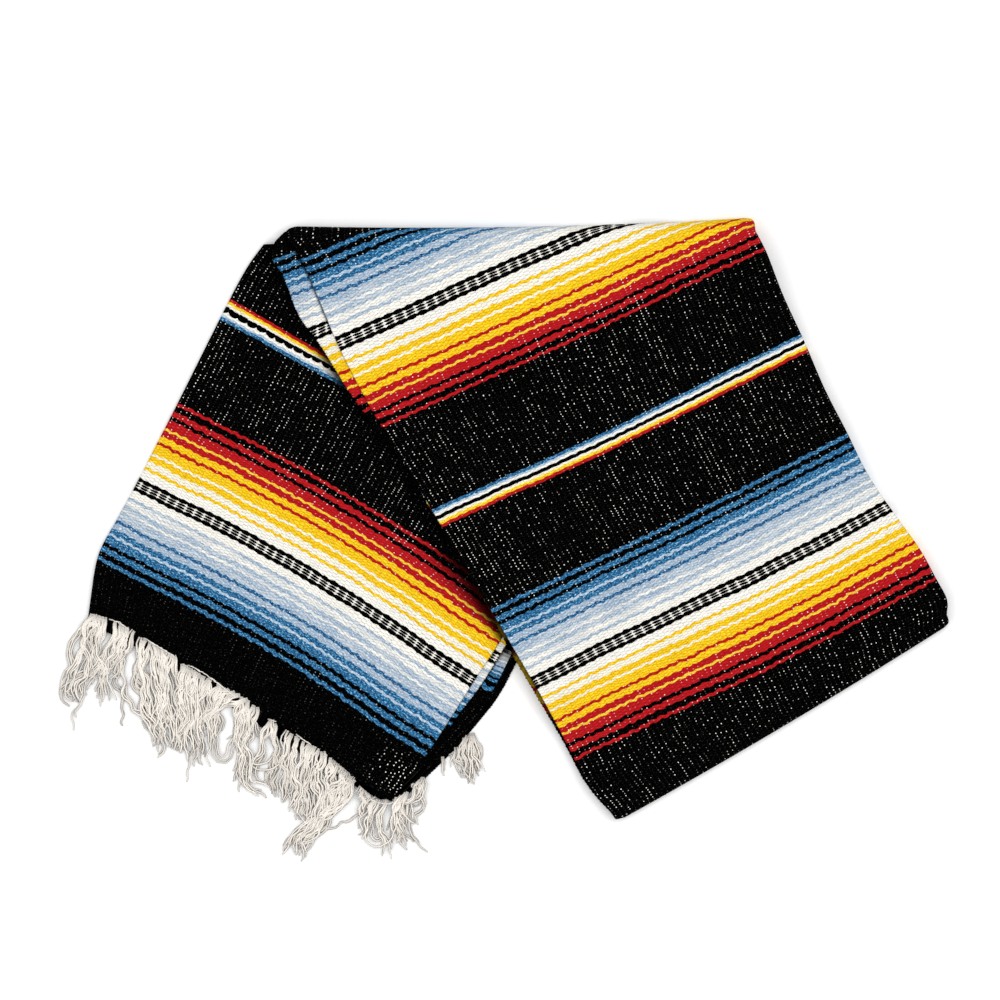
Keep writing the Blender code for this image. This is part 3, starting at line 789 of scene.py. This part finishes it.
def ring_at(plan, heights, shares, along, shade=1.0):
    """A ring's points, and what the cloth's material reads there: across, along and painted shade."""
    shade = np.broadcast_to(shade, shares.shape)
    return np.column_stack([plan, heights]), np.column_stack([shares * WIDTH, along, shade])


def shade_beside(p):
    """Painted shade on the left leg, where the right leg's edge stands over it and keeps the light off.
    """
    far = past_edge(p, RIGHT_PILE[:, 0]) / np.interp(p[:, 1], *BESIDE_WIDTH)
    return np.interp(far, *BESIDE_SHADE)


def left_stretch():
    """Top layer of the left leg, folded over along its left edge."""
    rows = row_numbers(LEFT_WALL, LAST_WEFT_ROW)
    rings = []
    for t, nub in zip(rows, turns_of_weft(len(rows), 0.3)):
        p, drops, shares = wall_ring(through_rows(LEFT_WALL, t), FOLD_LIP, SELVEDGE, (0.0, nub))
        # painted shade along the right edge, and beside the right leg
        shade = edge_shade(shares, drops, 1) * shade_beside(p)
        z = left_top(p) + creases(p) - drops
        rings.append(ring_at(p, z, shares, left_weft(p, t, shares), shade))
    return add_piece("cloth_left_stretch", rings, wall_caps(len(shares)))


def right_stretch():
    """Top layer of the right leg, with the top fold at one end and the end fold at the other."""
    rows = row_numbers(RIGHT_WALL)
    turns = np.linspace(0, pi, FOLD_RINGS)

    def in_fold(t, out, fold, turn):
        p, drops, shares = wall_ring(through_rows(RIGHT_WALL, t), SELVEDGE, FOLD_LIP, (0.0, 0.0))
        reach = fold_reach(p, through_rows(RIGHT_PILE, t), fold)
        half = right_top(p) / 2
        lift = creases(p) * (1 + cos(turn)) / 2
        plan = p + out * ((reach - drops) * sin(turn))[:, None]
        if fold is TOP_FOLD:
            past = np.maximum(reach * sin(turn) - CORNER_KEPT, 0.0)
            plan = cut_corner(plan, p[0], p[len(p) // 2] - p[0], past)
        unrolled = p + out * (turn * (reach + half) / 2)[:, None]
        return ring_at(plan, half + (half - drops) * cos(turn) + lift, shares, right_weft(unrolled))

    rings = [in_fold(0, AHEAD, TOP_FOLD, turn) for turn in turns[:0:-1]]
    for t, nub in zip(rows, turns_of_weft(len(rows), 0.35)):
        p, drops, shares = wall_ring(through_rows(RIGHT_WALL, t), SELVEDGE, FOLD_LIP, (nub, 0.0))
        z = right_top(p) + creases(p) - drops
        # painted shade along the left edge
        rings.append(ring_at(p, z, shares, right_weft(p), edge_shade(shares, drops, 0)))
    rings += [in_fold(LAST_ROW, AWAY, END_FOLD, turn) for turn in turns[1:]]
    return add_piece("cloth_right_stretch", rings, wall_caps(len(shares)))


# Sides of the hidden layers: inset and share of their height. Each bulge is a fold or an edge.
RIGHT_PILE_LEFT = ((2.2, 0.0), (0.5, 0.06), (0.0, 0.2), (0.6, 0.34), (3.2, 0.4), (1.0, 0.44), (0.7, 0.5),
                   (1.0, 0.56), (3.2, 0.6), (0.6, 0.66), (0.0, 0.8), (0.6, 0.94), (2.4, 1.0))
RIGHT_PILE_RIGHT = ((5.8, 1.0), (3.8, 0.94), (3.5, 0.81), (4.2, 0.79), (0.7, 0.77), (0.0, 0.7),
                    (0.7, 0.63), (3.2, 0.59), (1.0, 0.55), (0.7, 0.49), (1.0, 0.43), (3.2, 0.39),
                    (0.5, 0.33), (0.0, 0.2), (0.5, 0.07), (2.2, 0.0))
LEFT_PILE_LEFT = ((1.7, 0.0), (0.3, 0.12), (0.3, 0.38), (3.0, 0.5), (4.0, 0.53), (4.4, 0.75), (6.6, 1.0))
# Inset as a share of the strip that shows, inset in mm, share of the height, which strip it is on,
# painted shade
LEFT_PILE_RIGHT = ((1.0, 2.0, 1.0, 2, 0.1), (1.0, 0.2, 1.0, 2, 0.06), (1.0, -1.1, 1.0, 2, 0.3),
                   (1.0, -2.6, 1.0, 2, 1.0), (0.6, 1.6, 1.0, 2, 1.0), (0.6, 0.5, 0.95, 2, 1.0),
                   (0.6, 0.1, 0.82, 2, 0.7), (0.6, 0.4, 0.6, 2, 0.3), (0.6, 1.2, 0.52, 2, 0.1),
                   (0.6, 1.19, 0.51, 3, 0.1), (0.6, -0.6, 0.5, 3, 0.3), (0.6, -1.8, 0.5, 3, 1.0),
                   (0.0, 6.02, 0.5, 3, 1.0), (0.0, 6.0, 0.5, 4, 1.0), (0.0, 2.5, 0.48, 4, 1.0),
                   (0.0, 0.9, 0.42, 4, 1.0), (0.0, 0.1, 0.27, 4, 1.0), (0.0, 0.5, 0.07, 4, 1.0),
                   (0.0, 1.8, 0.0, 4, 1.0))
PILE_MIDDLE = np.linspace(0.0, 1.0, 26)
MIDDLE_SHADE = 0.2  # painted shade of the lower layers under the wall


def smooth_profile(table):
    """A side's points with two more between each pair, on a smooth curve."""
    rows = np.array(table, float)
    last = len(rows) - 1
    fine = np.array([through_rows(rows, t) for t in np.linspace(0, last, last * 3 + 1)])
    fine[:, 1] = clamp(fine[:, 1])
    return fine


def pile_caps(left, middle, right):
    """Faces that close an end of the hidden layers."""
    size = left + 2 * middle + right
    top = list(range(left, left + middle))
    bottom = list(range(size - 1, size - 1 - middle, -1))
    quads = [(top[k], top[k + 1], bottom[k + 1], bottom[k]) for k in range(middle - 1)]
    quads.append([bottom[0]] + list(range(left)) + [top[0]])
    quads.append([top[-1]] + list(range(left + middle, left + middle + right)) + [bottom[-1]])
    return quads


# Points on the layers along a wall's edge that lies on them: how far out from that edge, and their
# painted shade
CONTACT = ((2.0, 1.0), (0.8, 0.75), (-0.2, 0.35), (-2.0, 0.1))
CROWDING = 0.05  # between these points where the layers don't show
NUB_HEIGHT = 0.6  # the weft's turns stand out of the left side above this share of its height
LEFT_COLUMNS = 4  # of the middle, that take the strip's stripes


def contact_side(side, shown):
    """A side profile's inset, height and painted shade, with the points that lie along a wall's edge
    after it.

    shown is how far the layers show past the wall; where they don't, the points crowd inside the edge.
    """
    rows = [(*point, 1.0) for point in side]
    for k, (out, shade) in enumerate(CONTACT, 1):
        rows.append((max(shown - out, side[-1, 0] + CROWDING * k), 1.0, shade))
    return np.array(rows)


def pile_ring(line, wall_line, left_side, right_side):
    """Plan points and height shares of a ring of layers: left side, top, right side and bottom."""
    width = norm(line[-1] - line[0])
    inset = COLUMN_INSET / norm(wall_line[-1] - wall_line[0])
    middle = across_line(wall_line, inset + (1 - 2 * inset) * PILE_MIDDLE)
    left = across_line(line, left_side[:, 0] / width)
    right = across_line(line, 1 - right_side[:, 0] / width)
    plan = np.concatenate([left, middle, right, middle[::-1]])
    ones = np.ones(len(middle))
    return plan, np.concatenate([left_side[:, 1], ones, right_side[:, 1], 0 * ones])


def left_layers():
    """The two lower layers of the left leg: strips of them show beside the top layer, in two steps."""
    rows = row_numbers(LEFT_WALL, LAST_WEFT_ROW)
    left_side = smooth_profile(LEFT_PILE_LEFT)
    steps = np.array(LEFT_PILE_RIGHT)
    middle, left = np.ones(len(PILE_MIDDLE)), np.ones(len(left_side))
    # painted shade under the wall, and along the wall's edge and the step between the strips
    shades = np.concatenate([left, MIDDLE_SHADE * middle, steps[:, 4], middle])
    on_strip = np.concatenate([0 * left, 2 * middle, steps[:, 3], 0 * middle]).astype(int)
    nubs = turns_of_weft(len(rows), 0.35), turns_of_weft(len(rows), 0.3)
    rings = []
    for k, t in enumerate(rows):
        peek = HEM_PEEK * max(HEM_ROWS - t, 0)
        line = through_rows(LEFT_PILE, t) + peek
        shown = through_rows(LEFT_SHOWN, t)[0]
        nub = np.where(steps[:, 3] == 2, nubs[0][k], nubs[1][k]) * np.exp(-steps[:, 1] / PILE_NUB_FADE)
        right_side = np.column_stack([steps[:, 0] * shown + steps[:, 1] - nub, steps[:, 2]])
        plan, height = pile_ring(line, through_rows(LEFT_WALL, t) + peek, left_side, right_side)
        shares = (plan - line[0]) @ (line[-1] - line[0]) / norm(line[-1] - line[0])**2
        inner = left_weft(plan, t, shares)
        strips = [strip_weft(plan, strip) for strip in (SECOND_STRIP, THIRD_STRIP, HEM_STRIP)]
        along = np.choose(on_strip, [inner, inner, *strips])
        # painted shade on the third strip near the V
        shade = shades * np.where(on_strip == 3, np.interp(plan[:, 1], *THIRD_SHADE), 1.0)
        shares = np.where(on_strip >= 2, shares - STRIP_SHIFT, shares)
        rings.append(ring_at(plan, height * (left_top(plan) - LAYER), shares, along, shade))
    caps = pile_caps(len(left_side), len(PILE_MIDDLE), len(steps))
    return add_piece("cloth_left_layers", rings, caps)


def right_layers():
    """Layers inside the right leg, which show in a strip beside the top layer's left edge."""
    rows = row_numbers(RIGHT_WALL)
    left_side, right_side = smooth_profile(RIGHT_PILE_LEFT), smooth_profile(RIGHT_PILE_RIGHT)
    left_count = len(left_side) + len(CONTACT)
    first_line = RIGHT_PILE[0][-1] - RIGHT_PILE[0][0]

    def ring(t, nub=0.0, clear=0.0):
        line, wall_line = through_rows(RIGHT_PILE, t), through_rows(RIGHT_WALL, t)
        side = left_side - (nub, 0.0) * (left_side[:, 1:] > NUB_HEIGHT)
        left = contact_side(side, norm(wall_line[0] - line[0]))
        plan, height = pile_ring(line, wall_line, left, right_side + (clear, 0.0))
        near_left = np.arange(len(plan)) < left_count + LEFT_COLUMNS
        shift = np.interp(plan[:, 1], *TOP_STRIP_SHIFT)
        top_strip = right_weft(plan - np.column_stack([np.zeros(len(plan)), shift]))
        along = np.where(near_left, top_strip if t < PEEK_ROW else strip_weft(plan, PEEK_STRIP),
                         right_weft(plan) - INNER_SHIFT)
        # painted shade on the strip beside the left leg, and a dark line along the wall's edge
        shade = np.where(near_left, np.interp(t, *PEEK_SHADE), 1.0)
        shade[:left_count] *= left[:, 2]
        shares = (plan - RIGHT_PILE[0][0]) @ first_line / WIDTH**2
        return plan, height, (shares, along, shade)

    def in_fold(t, out, fold, turn, has_floor):
        plan, height, cloth = ring(t, clear=FOLD_INSET)
        line, wall_line = through_rows(RIGHT_PILE, t), through_rows(RIGHT_WALL, t)
        reach = np.maximum(fold_reach(plan, line, fold), fold[0] - CORNER_LOSS)
        run = wall_line[-1] - wall_line[0]
        start, length = FOLD_LEFT
        inside = clamp(((plan - wall_line[0]) @ unit(run) + start) / length)
        ahead_by = (reach - LAYER * inside) * sin(turn)
        moved = plan + out * ahead_by[:, None]
        if not has_floor:
            moved = cut_corner(moved, line[0], run, ahead_by)
        half = right_top(plan) / 2
        rise = (half - LAYER - CLEAR) * cos(turn)
        low = half - rise if has_floor else right_bottom(moved)
        return ring_at(moved, low + height * (half + rise - low), *cloth)

    def flat(t, nub=0.0, clear=0.0, back=0.0, floor=None):
        plan, height, cloth = ring(t, nub, clear)
        plan = plan - AWAY * back
        low = right_bottom(plan) if floor is None else floor
        return ring_at(plan, low + height * (right_top(plan) - LAYER - CLEAR - low), *cloth)

    rings = [in_fold(0, AHEAD, TOP_FOLD, turn, False) for turn in TOP_FOLD_TURNS]
    rings += [flat(t, nub) for t, nub in zip(rows[:-1], turns_of_weft(len(rows), 0.6))]
    for back, floor in ((PILE_END + GAP, None), (PILE_END, LAYER)):
        rings.append(flat(LAST_ROW, 0.0, FOLD_INSET, back, floor))
    rings += [in_fold(LAST_ROW, AWAY, END_FOLD, turn, True) for turn in END_FOLD_TURNS]
    caps = pile_caps(left_count, len(PILE_MIDDLE), len(right_side))
    return add_piece("cloth_right_layers", rings, caps)


# ---------------------------------------------------------------- the fringe
# Locks of a fringe: strands, where the first and the last of them leave the hem, and then the places the
# lock runs through, each with its width there
FRONT_LOCKS = (
    (38, (-417, -73), (-399, -77.5),
     ((-418, -98, 20), (-419, -126, 24), (-419, -148, 34), (-420, -164, 38))),
    (3, (-415, -74), (-409, -75), ((-423, -127, 4), (-433, -158, 3), (-442, -191, 2))),
    (6, (-417, -73), (-407, -76), ((-425, -123, 8), (-436, -148, 9))),
    (5, (-409, -75), (-401, -77), ((-415, -123, 8), (-409, -165, 7))),
    (14, (-393, -80), (-383, -85.5), ((-392, -110, 8), (-402, -125, 8), (-413, -148, 14))),
    (16, (-387, -83), (-369, -92), ((-384, -110, 15), (-388, -130, 12), (-386, -142, 14))),
    (3, (-386, -84), (-381, -87),
     ((-388, -118, 4), (-386.5, -147.5, 3), (-378, -170, 3), (-359, -184, 3))),
    (2, (-383, -85), (-379, -88), ((-388, -130, 2), (-383, -178, 2), (-389, -196, 2))),
    (26, (-367.5, -96), (-355, -103),
     ((-361, -127, 11), (-357, -161, 11), (-349, -193, 8), (-347, -218, 5))),
    (28, (-355, -103), (-342, -109.5),
     ((-348, -133, 13), (-345, -161, 13), (-340, -188, 10), (-340, -209, 8))),
    (26, (-342, -109.5), (-330, -115.5),
     ((-337, -133, 12), (-333, -161, 13), (-331, -185, 9), (-328, -203, 9))),
    (24, (-324.5, -123), (-314, -129),
     ((-326, -142, 10), (-325, -161, 11), (-321, -188, 9), (-320, -215, 6))),
    (22, (-314, -129), (-304, -135),
     ((-315, -148, 11), (-315, -170, 11), (-314, -193, 8), (-312, -215, 6))),
    (18, (-304, -135), (-293.5, -141),
     ((-303, -153, 10), (-303, -173, 10), (-306, -203, 7), (-309, -228, 4))),
    (2, (-315, -129), (-312, -131), ((-319, -178, 2), (-323, -242, 2))),
    (2, (-301, -137), (-298, -139), ((-299, -198, 2), (-295, -231, 2), (-288, -239, 2))),
    (24, (-279, -148), (-256, -161), ((-281, -161, 13), (-297, -176, 8), (-301, -196, 7))),
    (20, (-290, -142), (-277, -150), ((-288, -158, 10), (-291, -180, 10), (-291, -203, 7))),
    (3, (-274, -151), (-269, -155), ((-289, -180, 3), (-281, -215, 3), (-266, -187, 3))),
    (11, (-269, -154), (-256, -161), ((-265, -172, 8), (-267, -193, 8), (-265, -208, 7))),
    (12, (-266, -156), (-255, -163),
     ((-262.5, -178, 7), (-262.5, -213, 6), (-256, -239, 4), (-238, -260, 4))),
    (11, (-261, -160), (-251, -166), ((-262, -188, 7), (-263, -223, 5), (-262.5, -253, 3))),
    (1, (-265, -158), (-263, -159), ((-271, -203, 1), (-281, -249, 1))),
    (8, (-253, -165), (-245, -170), ((-249, -184, 6), (-256, -204, 5))),
    (12, (-237, -177), (-230, -185), ((-230, -204, 5), (-231.5, -230, 4), (-233, -259, 3))),
    (3, (-237, -179), (-234, -182),
     ((-245, -206, 2), (-253, -221, 2), (-240, -222, 2), (-226, -218, 2))),
    (3, (-235, -181), (-232, -183),
     ((-241, -213, 2), (-248, -228, 2), (-242, -239, 2), (-237, -228, 2))),
    (10, (-219, -190), (-211, -196),
     ((-221, -210, 7), (-223, -222, 6), (-216, -240, 5), (-225, -268, 4))),
    (16, (-212, -195), (-200, -203), ((-212, -223, 9), (-210, -253, 6), (-214, -277, 5))),
    (22, (-200, -203), (-186, -209),
     ((-204, -225, 12), (-205, -253, 8), (-206, -265, 5), (-204, -282, 4))),
    (30, (-186, -210), (-168, -224),
     ((-183, -236, 15), (-183, -261, 8), (-196, -284, 6), (-212, -303, 6), (-216, -319, 5))),
    (30, (-168, -224), (-150, -241),
     ((-167, -248, 14), (-177, -266, 8), (-193, -286, 6), (-205, -300, 6), (-208, -317, 4))),
    (8, (-156, -238), (-150, -245), ((-163, -261, 4), (-171, -272, 4), (-191, -286, 4))),
    (2, (-149, -245), (-146, -249),
     ((-146, -269, 1), (-161, -277, 2), (-181, -288, 2), (-188, -292, 2))),
    (2, (-189, -209), (-185, -212),
     ((-190, -248, 2), (-185, -266, 2), (-194, -280, 2), (-205, -274, 2), (-204, -263, 2),
      (-192, -260, 2))),
    (13, (-149, -246), (-135, -258), ((-140, -261, 7), (-141, -270, 5))),
    (2, (-143, -253), (-139, -256), ((-139, -261, 2), (-143, -270, 2), (-138, -278, 2))),
    (10, (-135, -259), (-126, -260), ((-136, -272, 6), (-139, -292, 4), (-146, -300, 4))),
    (8, (-126, -260), (-114, -260.5), ((-122, -278, 7), (-119, -303, 5), (-116, -321, 8))),
    (3, (-131, -260), (-126, -260),
     ((-139, -292, 3), (-126, -299, 3), (-114, -293, 3), (-116, -270, 3))),
    (9, (-112, -258), (-103, -255), ((-110, -269, 6), (-111, -282, 5), (-111, -305, 5))),
    (9, (-108, -257), (-98, -252), ((-107, -269, 6), (-107, -284, 5), (-101, -307, 5))),
    (8, (-103, -255), (-94, -248), ((-105, -269, 5), (-102, -285, 5), (-93, -310, 6))),
    (3, (-101, -253), (-96, -249), ((-103, -269, 3), (-97, -288, 3), (-74, -311, 4))),
    (10, (-94, -247), (-84, -238), ((-91, -253, 6), (-101, -266, 6), (-103, -278, 4), (-96, -292, 5))),
    (4, (-86, -239), (-83, -237), ((-83, -244, 3), (-84, -264, 3), (-91, -274, 3), (-90, -288, 3))),
)
BACK_LOCKS = (
    (3, (-65, -218), (-62, -216), ((-61, -224, 2), (-55, -234, 3))),
    (4, (-59, -216), (-56, -214), ((-50, -219, 3), (-44, -222, 3), (-39, -228, 3))),
    (3, (-51, -208), (-48, -206), ((-47, -215, 3), (-44, -223, 3))),
    (16, (-41, -199), (-33.5, -193), ((-37, -211, 8), (-36, -232, 6), (-34, -246, 5))),
    (8, (-37, -196), (-32, -192), ((-31, -210, 4), (-28, -234, 5))),
    (4, (-35, -194), (-32, -192), ((-28, -212, 3), (-26, -245, 3))),
)
# White thread twined along the hem, over its edge, and short tufts that stand up from it
HEM_THREADS = (
    ((-396, -77), (-386, -81), (-376, -88)),
    ((-362, -96), (-348, -104), (-329, -116)),
    ((-317, -123), (-302, -131), (-287, -142), (-270, -155)),
    ((-237, -177), (-229, -180)),
    ((-209, -193), (-194, -203)),
    ((-141, -253), (-132, -259), (-120, -262), (-108, -260)),
)
TUFTS = (((-172, -218), (-148, -238), 18), ((-146, -244), (-134, -254), 22),
         ((-92, -243), (-82, -235), 12))
ROOT_SHIFT = (1.0, 1.7)  # from the tabled roots to where the strands leave the hem
FRONT_ROOT, BACK_ROOT = 8.4, 2.6  # heights of the roots
LOWEST = 1.4  # middle of a strand that lies on the surface
STRAND_STEP = 3.2
STRAND_SIDES = 6
STRAND_RADIUS = (0.78, 1.08)
WISP = 6  # strands that keep together
WISP_SWAP = 0.4  # how far a wisp changes its place in the lock, from one width to the next,
WISP_LIMITS = (-0.15, 1.15)  # and how far it may come out of the lock
# Waves of a wisp, and of a strand sideways and up: their heights, and then their lengths with shares
WISP_WAVE, STRAND_WAVE, STRAND_LIFT = 1.35, 0.55, 0.35
WAVES = ((11.0, 0.35), (21.0, 1.0), (42.0, 2.0))
WAVE_START = 12.0  # the waves grow over this length from the root
DROP = (10.0, 18.0)  # a strand sinks from its root to its rest from here on, over this length
REST = (1.4, 4.2)  # heights at which wisps rest
SPREAD = 1.9  # of the strands in a wisp,
PARTING = (6.0, 2.5)  # more at the tip, and how sharply that grows
SHORTEST = 0.68  # of a strand, as a share of its wisp
STRAND_SHADE = (0.85, 1.0)
DEEP_SHADE = (0.7, 3.6)  # painted shade of strands on the surface, and the height over it where that ends
ROOT_SHADE = (0.55, 9.0)  # painted shade of the roots, and the length where that ends
THREAD_RADIUS = 0.5
TUFT_RADIUS = (0.6, 0.8)
TUFT_LENGTH = (3.0, 8.0)


def run_along(path):
    """Distance along a path at each of its points."""
    return np.concatenate([[0.0], np.cumsum(norm(np.diff(path, axis=0), axis=1))])


def smooth_path(places, step):
    """Points about a step apart on a smooth curve through every place."""
    last = len(places) - 1
    fine = np.array([through_rows(places, t) for t in np.linspace(0, last, 14 * last + 1)])
    run = run_along(fine)
    even = np.linspace(0.0, run[-1], max(int(round(run[-1] / step)), 3) + 1)
    return np.column_stack([np.interp(even, run, column) for column in fine.T]), even


def waves(run, height):
    """Uneven sideways waves along a strand, none at its root."""
    total = np.zeros(len(run))
    for length, share in WAVES:
        length *= rng.uniform(0.8, 1.3)
        total += share * rng.uniform(0.3, 1.2) * np.sin(2 * pi * (run / length + rng.uniform()))
    return height * total * clamp(run / WAVE_START)


def aside(path, distance):
    """A path in plan moved sideways by the distance given for each of its points."""
    ahead = unit(np.gradient(path, axis=0))
    return path + np.column_stack([-ahead[:, 1], ahead[:, 0]]) * np.reshape(distance, (-1, 1))


def wisp_path(share, first, last, places):
    """Path in plan of a wisp of a lock, from its share of the way between the lock's end roots."""
    plan = [np.array(first) + share * np.subtract(last, first) + ROOT_SHIFT]
    centre = (np.array(first) + last) / 2 + ROOT_SHIFT
    for x, y, width in places:
        here = np.array((x, y), float)
        ahead = unit(here - centre)
        share = np.clip(share + rng.normal(0.0, WISP_SWAP), *WISP_LIMITS)
        plan.append(here + np.array((-ahead[1], ahead[0])) * (share - 0.5) * width)
        centre = here
    path, run = smooth_path(np.array(plan), STRAND_STEP)
    return aside(path, waves(run, WISP_WAVE)), run


def wisp_strands(count, share, first, last, places, root_height):
    """Strands of a wisp, which keep together, cross, and part at their ends."""
    line, run = wisp_path(share, first, last, places)
    lift = rng.uniform(*REST)
    low = clamp((run - DROP[0]) / DROP[1])
    low = low * low * (3 - 2 * low)
    result = []
    for _ in range(count):
        apart = rng.normal(0.0, SPREAD) * clamp(0.6 + run / 30.0) + waves(run, STRAND_WAVE)
        apart = apart + rng.normal(0.0, PARTING[0]) * (run / run[-1])**PARTING[1]
        rest = lift + rng.uniform(-0.4, 1.8) + waves(run, STRAND_LIFT)
        height = root_height + (rest - root_height) * low
        height = height + rng.uniform(0.0, 1.6) * clamp(run / 8.0) * (1 - low)
        keep = run <= run[-1] * rng.uniform(SHORTEST, 1.0)
        result.append(np.column_stack([aside(line, apart), np.maximum(height, LOWEST)])[keep])
    return result


def lightened(distance, dark, length):
    """From dark at a distance of 0 up to 1 at a length."""
    return dark + (1 - dark) * clamp(distance / length)


def add_strands(name, paths):
    """One closed tube a strand, with what the cotton's material reads: up, along, and a random tone times
    painted shade.
    """
    turn = np.arange(STRAND_SIDES) * 2 * pi / STRAND_SIDES
    points, yarn, faces, count = [], [], [], 0
    for path, radius in paths:
        ahead = unit(np.gradient(path, axis=0))
        side = unit(np.cross(ahead, (0.0, 0.0, 1.0)))
        upward = np.cross(side, ahead)
        size = radius * clamp(np.arange(len(path), 0, -1) / 3.0 + 0.25)
        ring = side[:, None] * np.cos(turn)[:, None] + upward[:, None] * np.sin(turn)[:, None]
        points.append((path[:, None] + ring * size[:, None, None]).reshape(-1, 3))
        run = run_along(path)[:, None]
        # a random tone for each strand, times painted shade low on the surface and at the roots
        shade = rng.uniform(*STRAND_SHADE) * lightened(path[:, 2:] - LOWEST, *DEEP_SHADE)
        shade = shade * lightened(run, *ROOT_SHADE)
        yarn.append(np.stack(np.broadcast_arrays(np.sin(turn), run, shade), axis=-1).reshape(-1, 3))
        number = count + np.arange(len(path) * STRAND_SIDES).reshape(len(path), STRAND_SIDES)
        faces += tube_faces(number, turned=True)
        faces += [number[0].tolist(), number[-1][::-1].tolist()]
        count += number.size
    return add_mesh(name, np.concatenate(points), faces, "yarn", np.concatenate(yarn))


def lock_strands(locks, root_height):
    """Every strand of some locks: its path and radius."""
    result = []
    for count, first, last, places in locks:
        wisps = max(round(count / WISP), 1)
        strands = max(round(count / wisps), 1)
        for k in range(wisps):
            share = (k + rng.uniform(0.2, 0.8)) / wisps
            for path in wisp_strands(strands, share, first, last, places, root_height):
                result.append((path, rng.uniform(*STRAND_RADIUS)))
    return result


def hem_threads():
    """White thread along the hem, and the short tufts."""
    result = []
    for places in HEM_THREADS:
        for _ in range(2):
            path, run = smooth_path(np.array(places, float), 2.0)
            path = path + rng.normal(0.0, 0.35, path.shape)
            height = left_top(path) + creases(path) + 0.25 + waves(run, 0.12)
            result.append((np.column_stack([path, height]), THREAD_RADIUS))
    for first, last, count in TUFTS:
        for _ in range(count):
            root = np.array(first) + rng.uniform() * np.subtract(last, first)
            out = np.array((rng.uniform(-0.9, 0.5), -1.0)) * rng.uniform(*TUFT_LENGTH)
            bend = root + out * 0.5 + rng.normal(0, 1, 2)
            path, run = smooth_path(np.array((root, bend, root + out)), 1.5)
            height = left_top(path) + 0.2 + 1.5 * np.sin(pi * run / run[-1])
            result.append((np.column_stack([path, height]), rng.uniform(*TUFT_RADIUS)))
    return result


# ---------------------------------------------------------------- assembly
CLOTH = cloth_material()
COTTON_YARN = cotton_material()


def dress(item, node, material):
    """Give a piece its material and slot, in place of its solid."""
    item.data.materials.append(material)
    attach(item, "root")
    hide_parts(node)
    return item


def dress_cloth(item, node):
    """Dress a cloth piece."""
    dress(item, node, CLOTH)


def dress_fringe(name, node, strands):
    """Dress a fringe piece."""
    return dress(add_strands(name, strands), node, COTTON_YARN)


set_camera()
set_lights()
bpy.ops.mesh.primitive_plane_add(size=FLOOR_SIZE, location=(0.0, 0.0, FLOOR_HEIGHT))
floor = bpy.context.object
floor.name = "floor"
paper = Shader("floor_paper", roughness=0.95)
paper.put(paper.surface["Base Color"], PAPER)
floor.data.materials.append(paper.material)

strands = lock_strands(FRONT_LOCKS, FRONT_ROOT) + hem_threads()
front = dress_fringe("fringe_strands_front", "fringe_front", strands)
back = dress_fringe("fringe_strands_back", "fringe_back", lock_strands(BACK_LOCKS, BACK_ROOT))
dress_cloth(left_layers(), "left_layers")
dress_cloth(left_stretch(), "left_stretch")
dress_cloth(right_layers(), "right_layers")
dress_cloth(right_stretch(), "right_stretch")
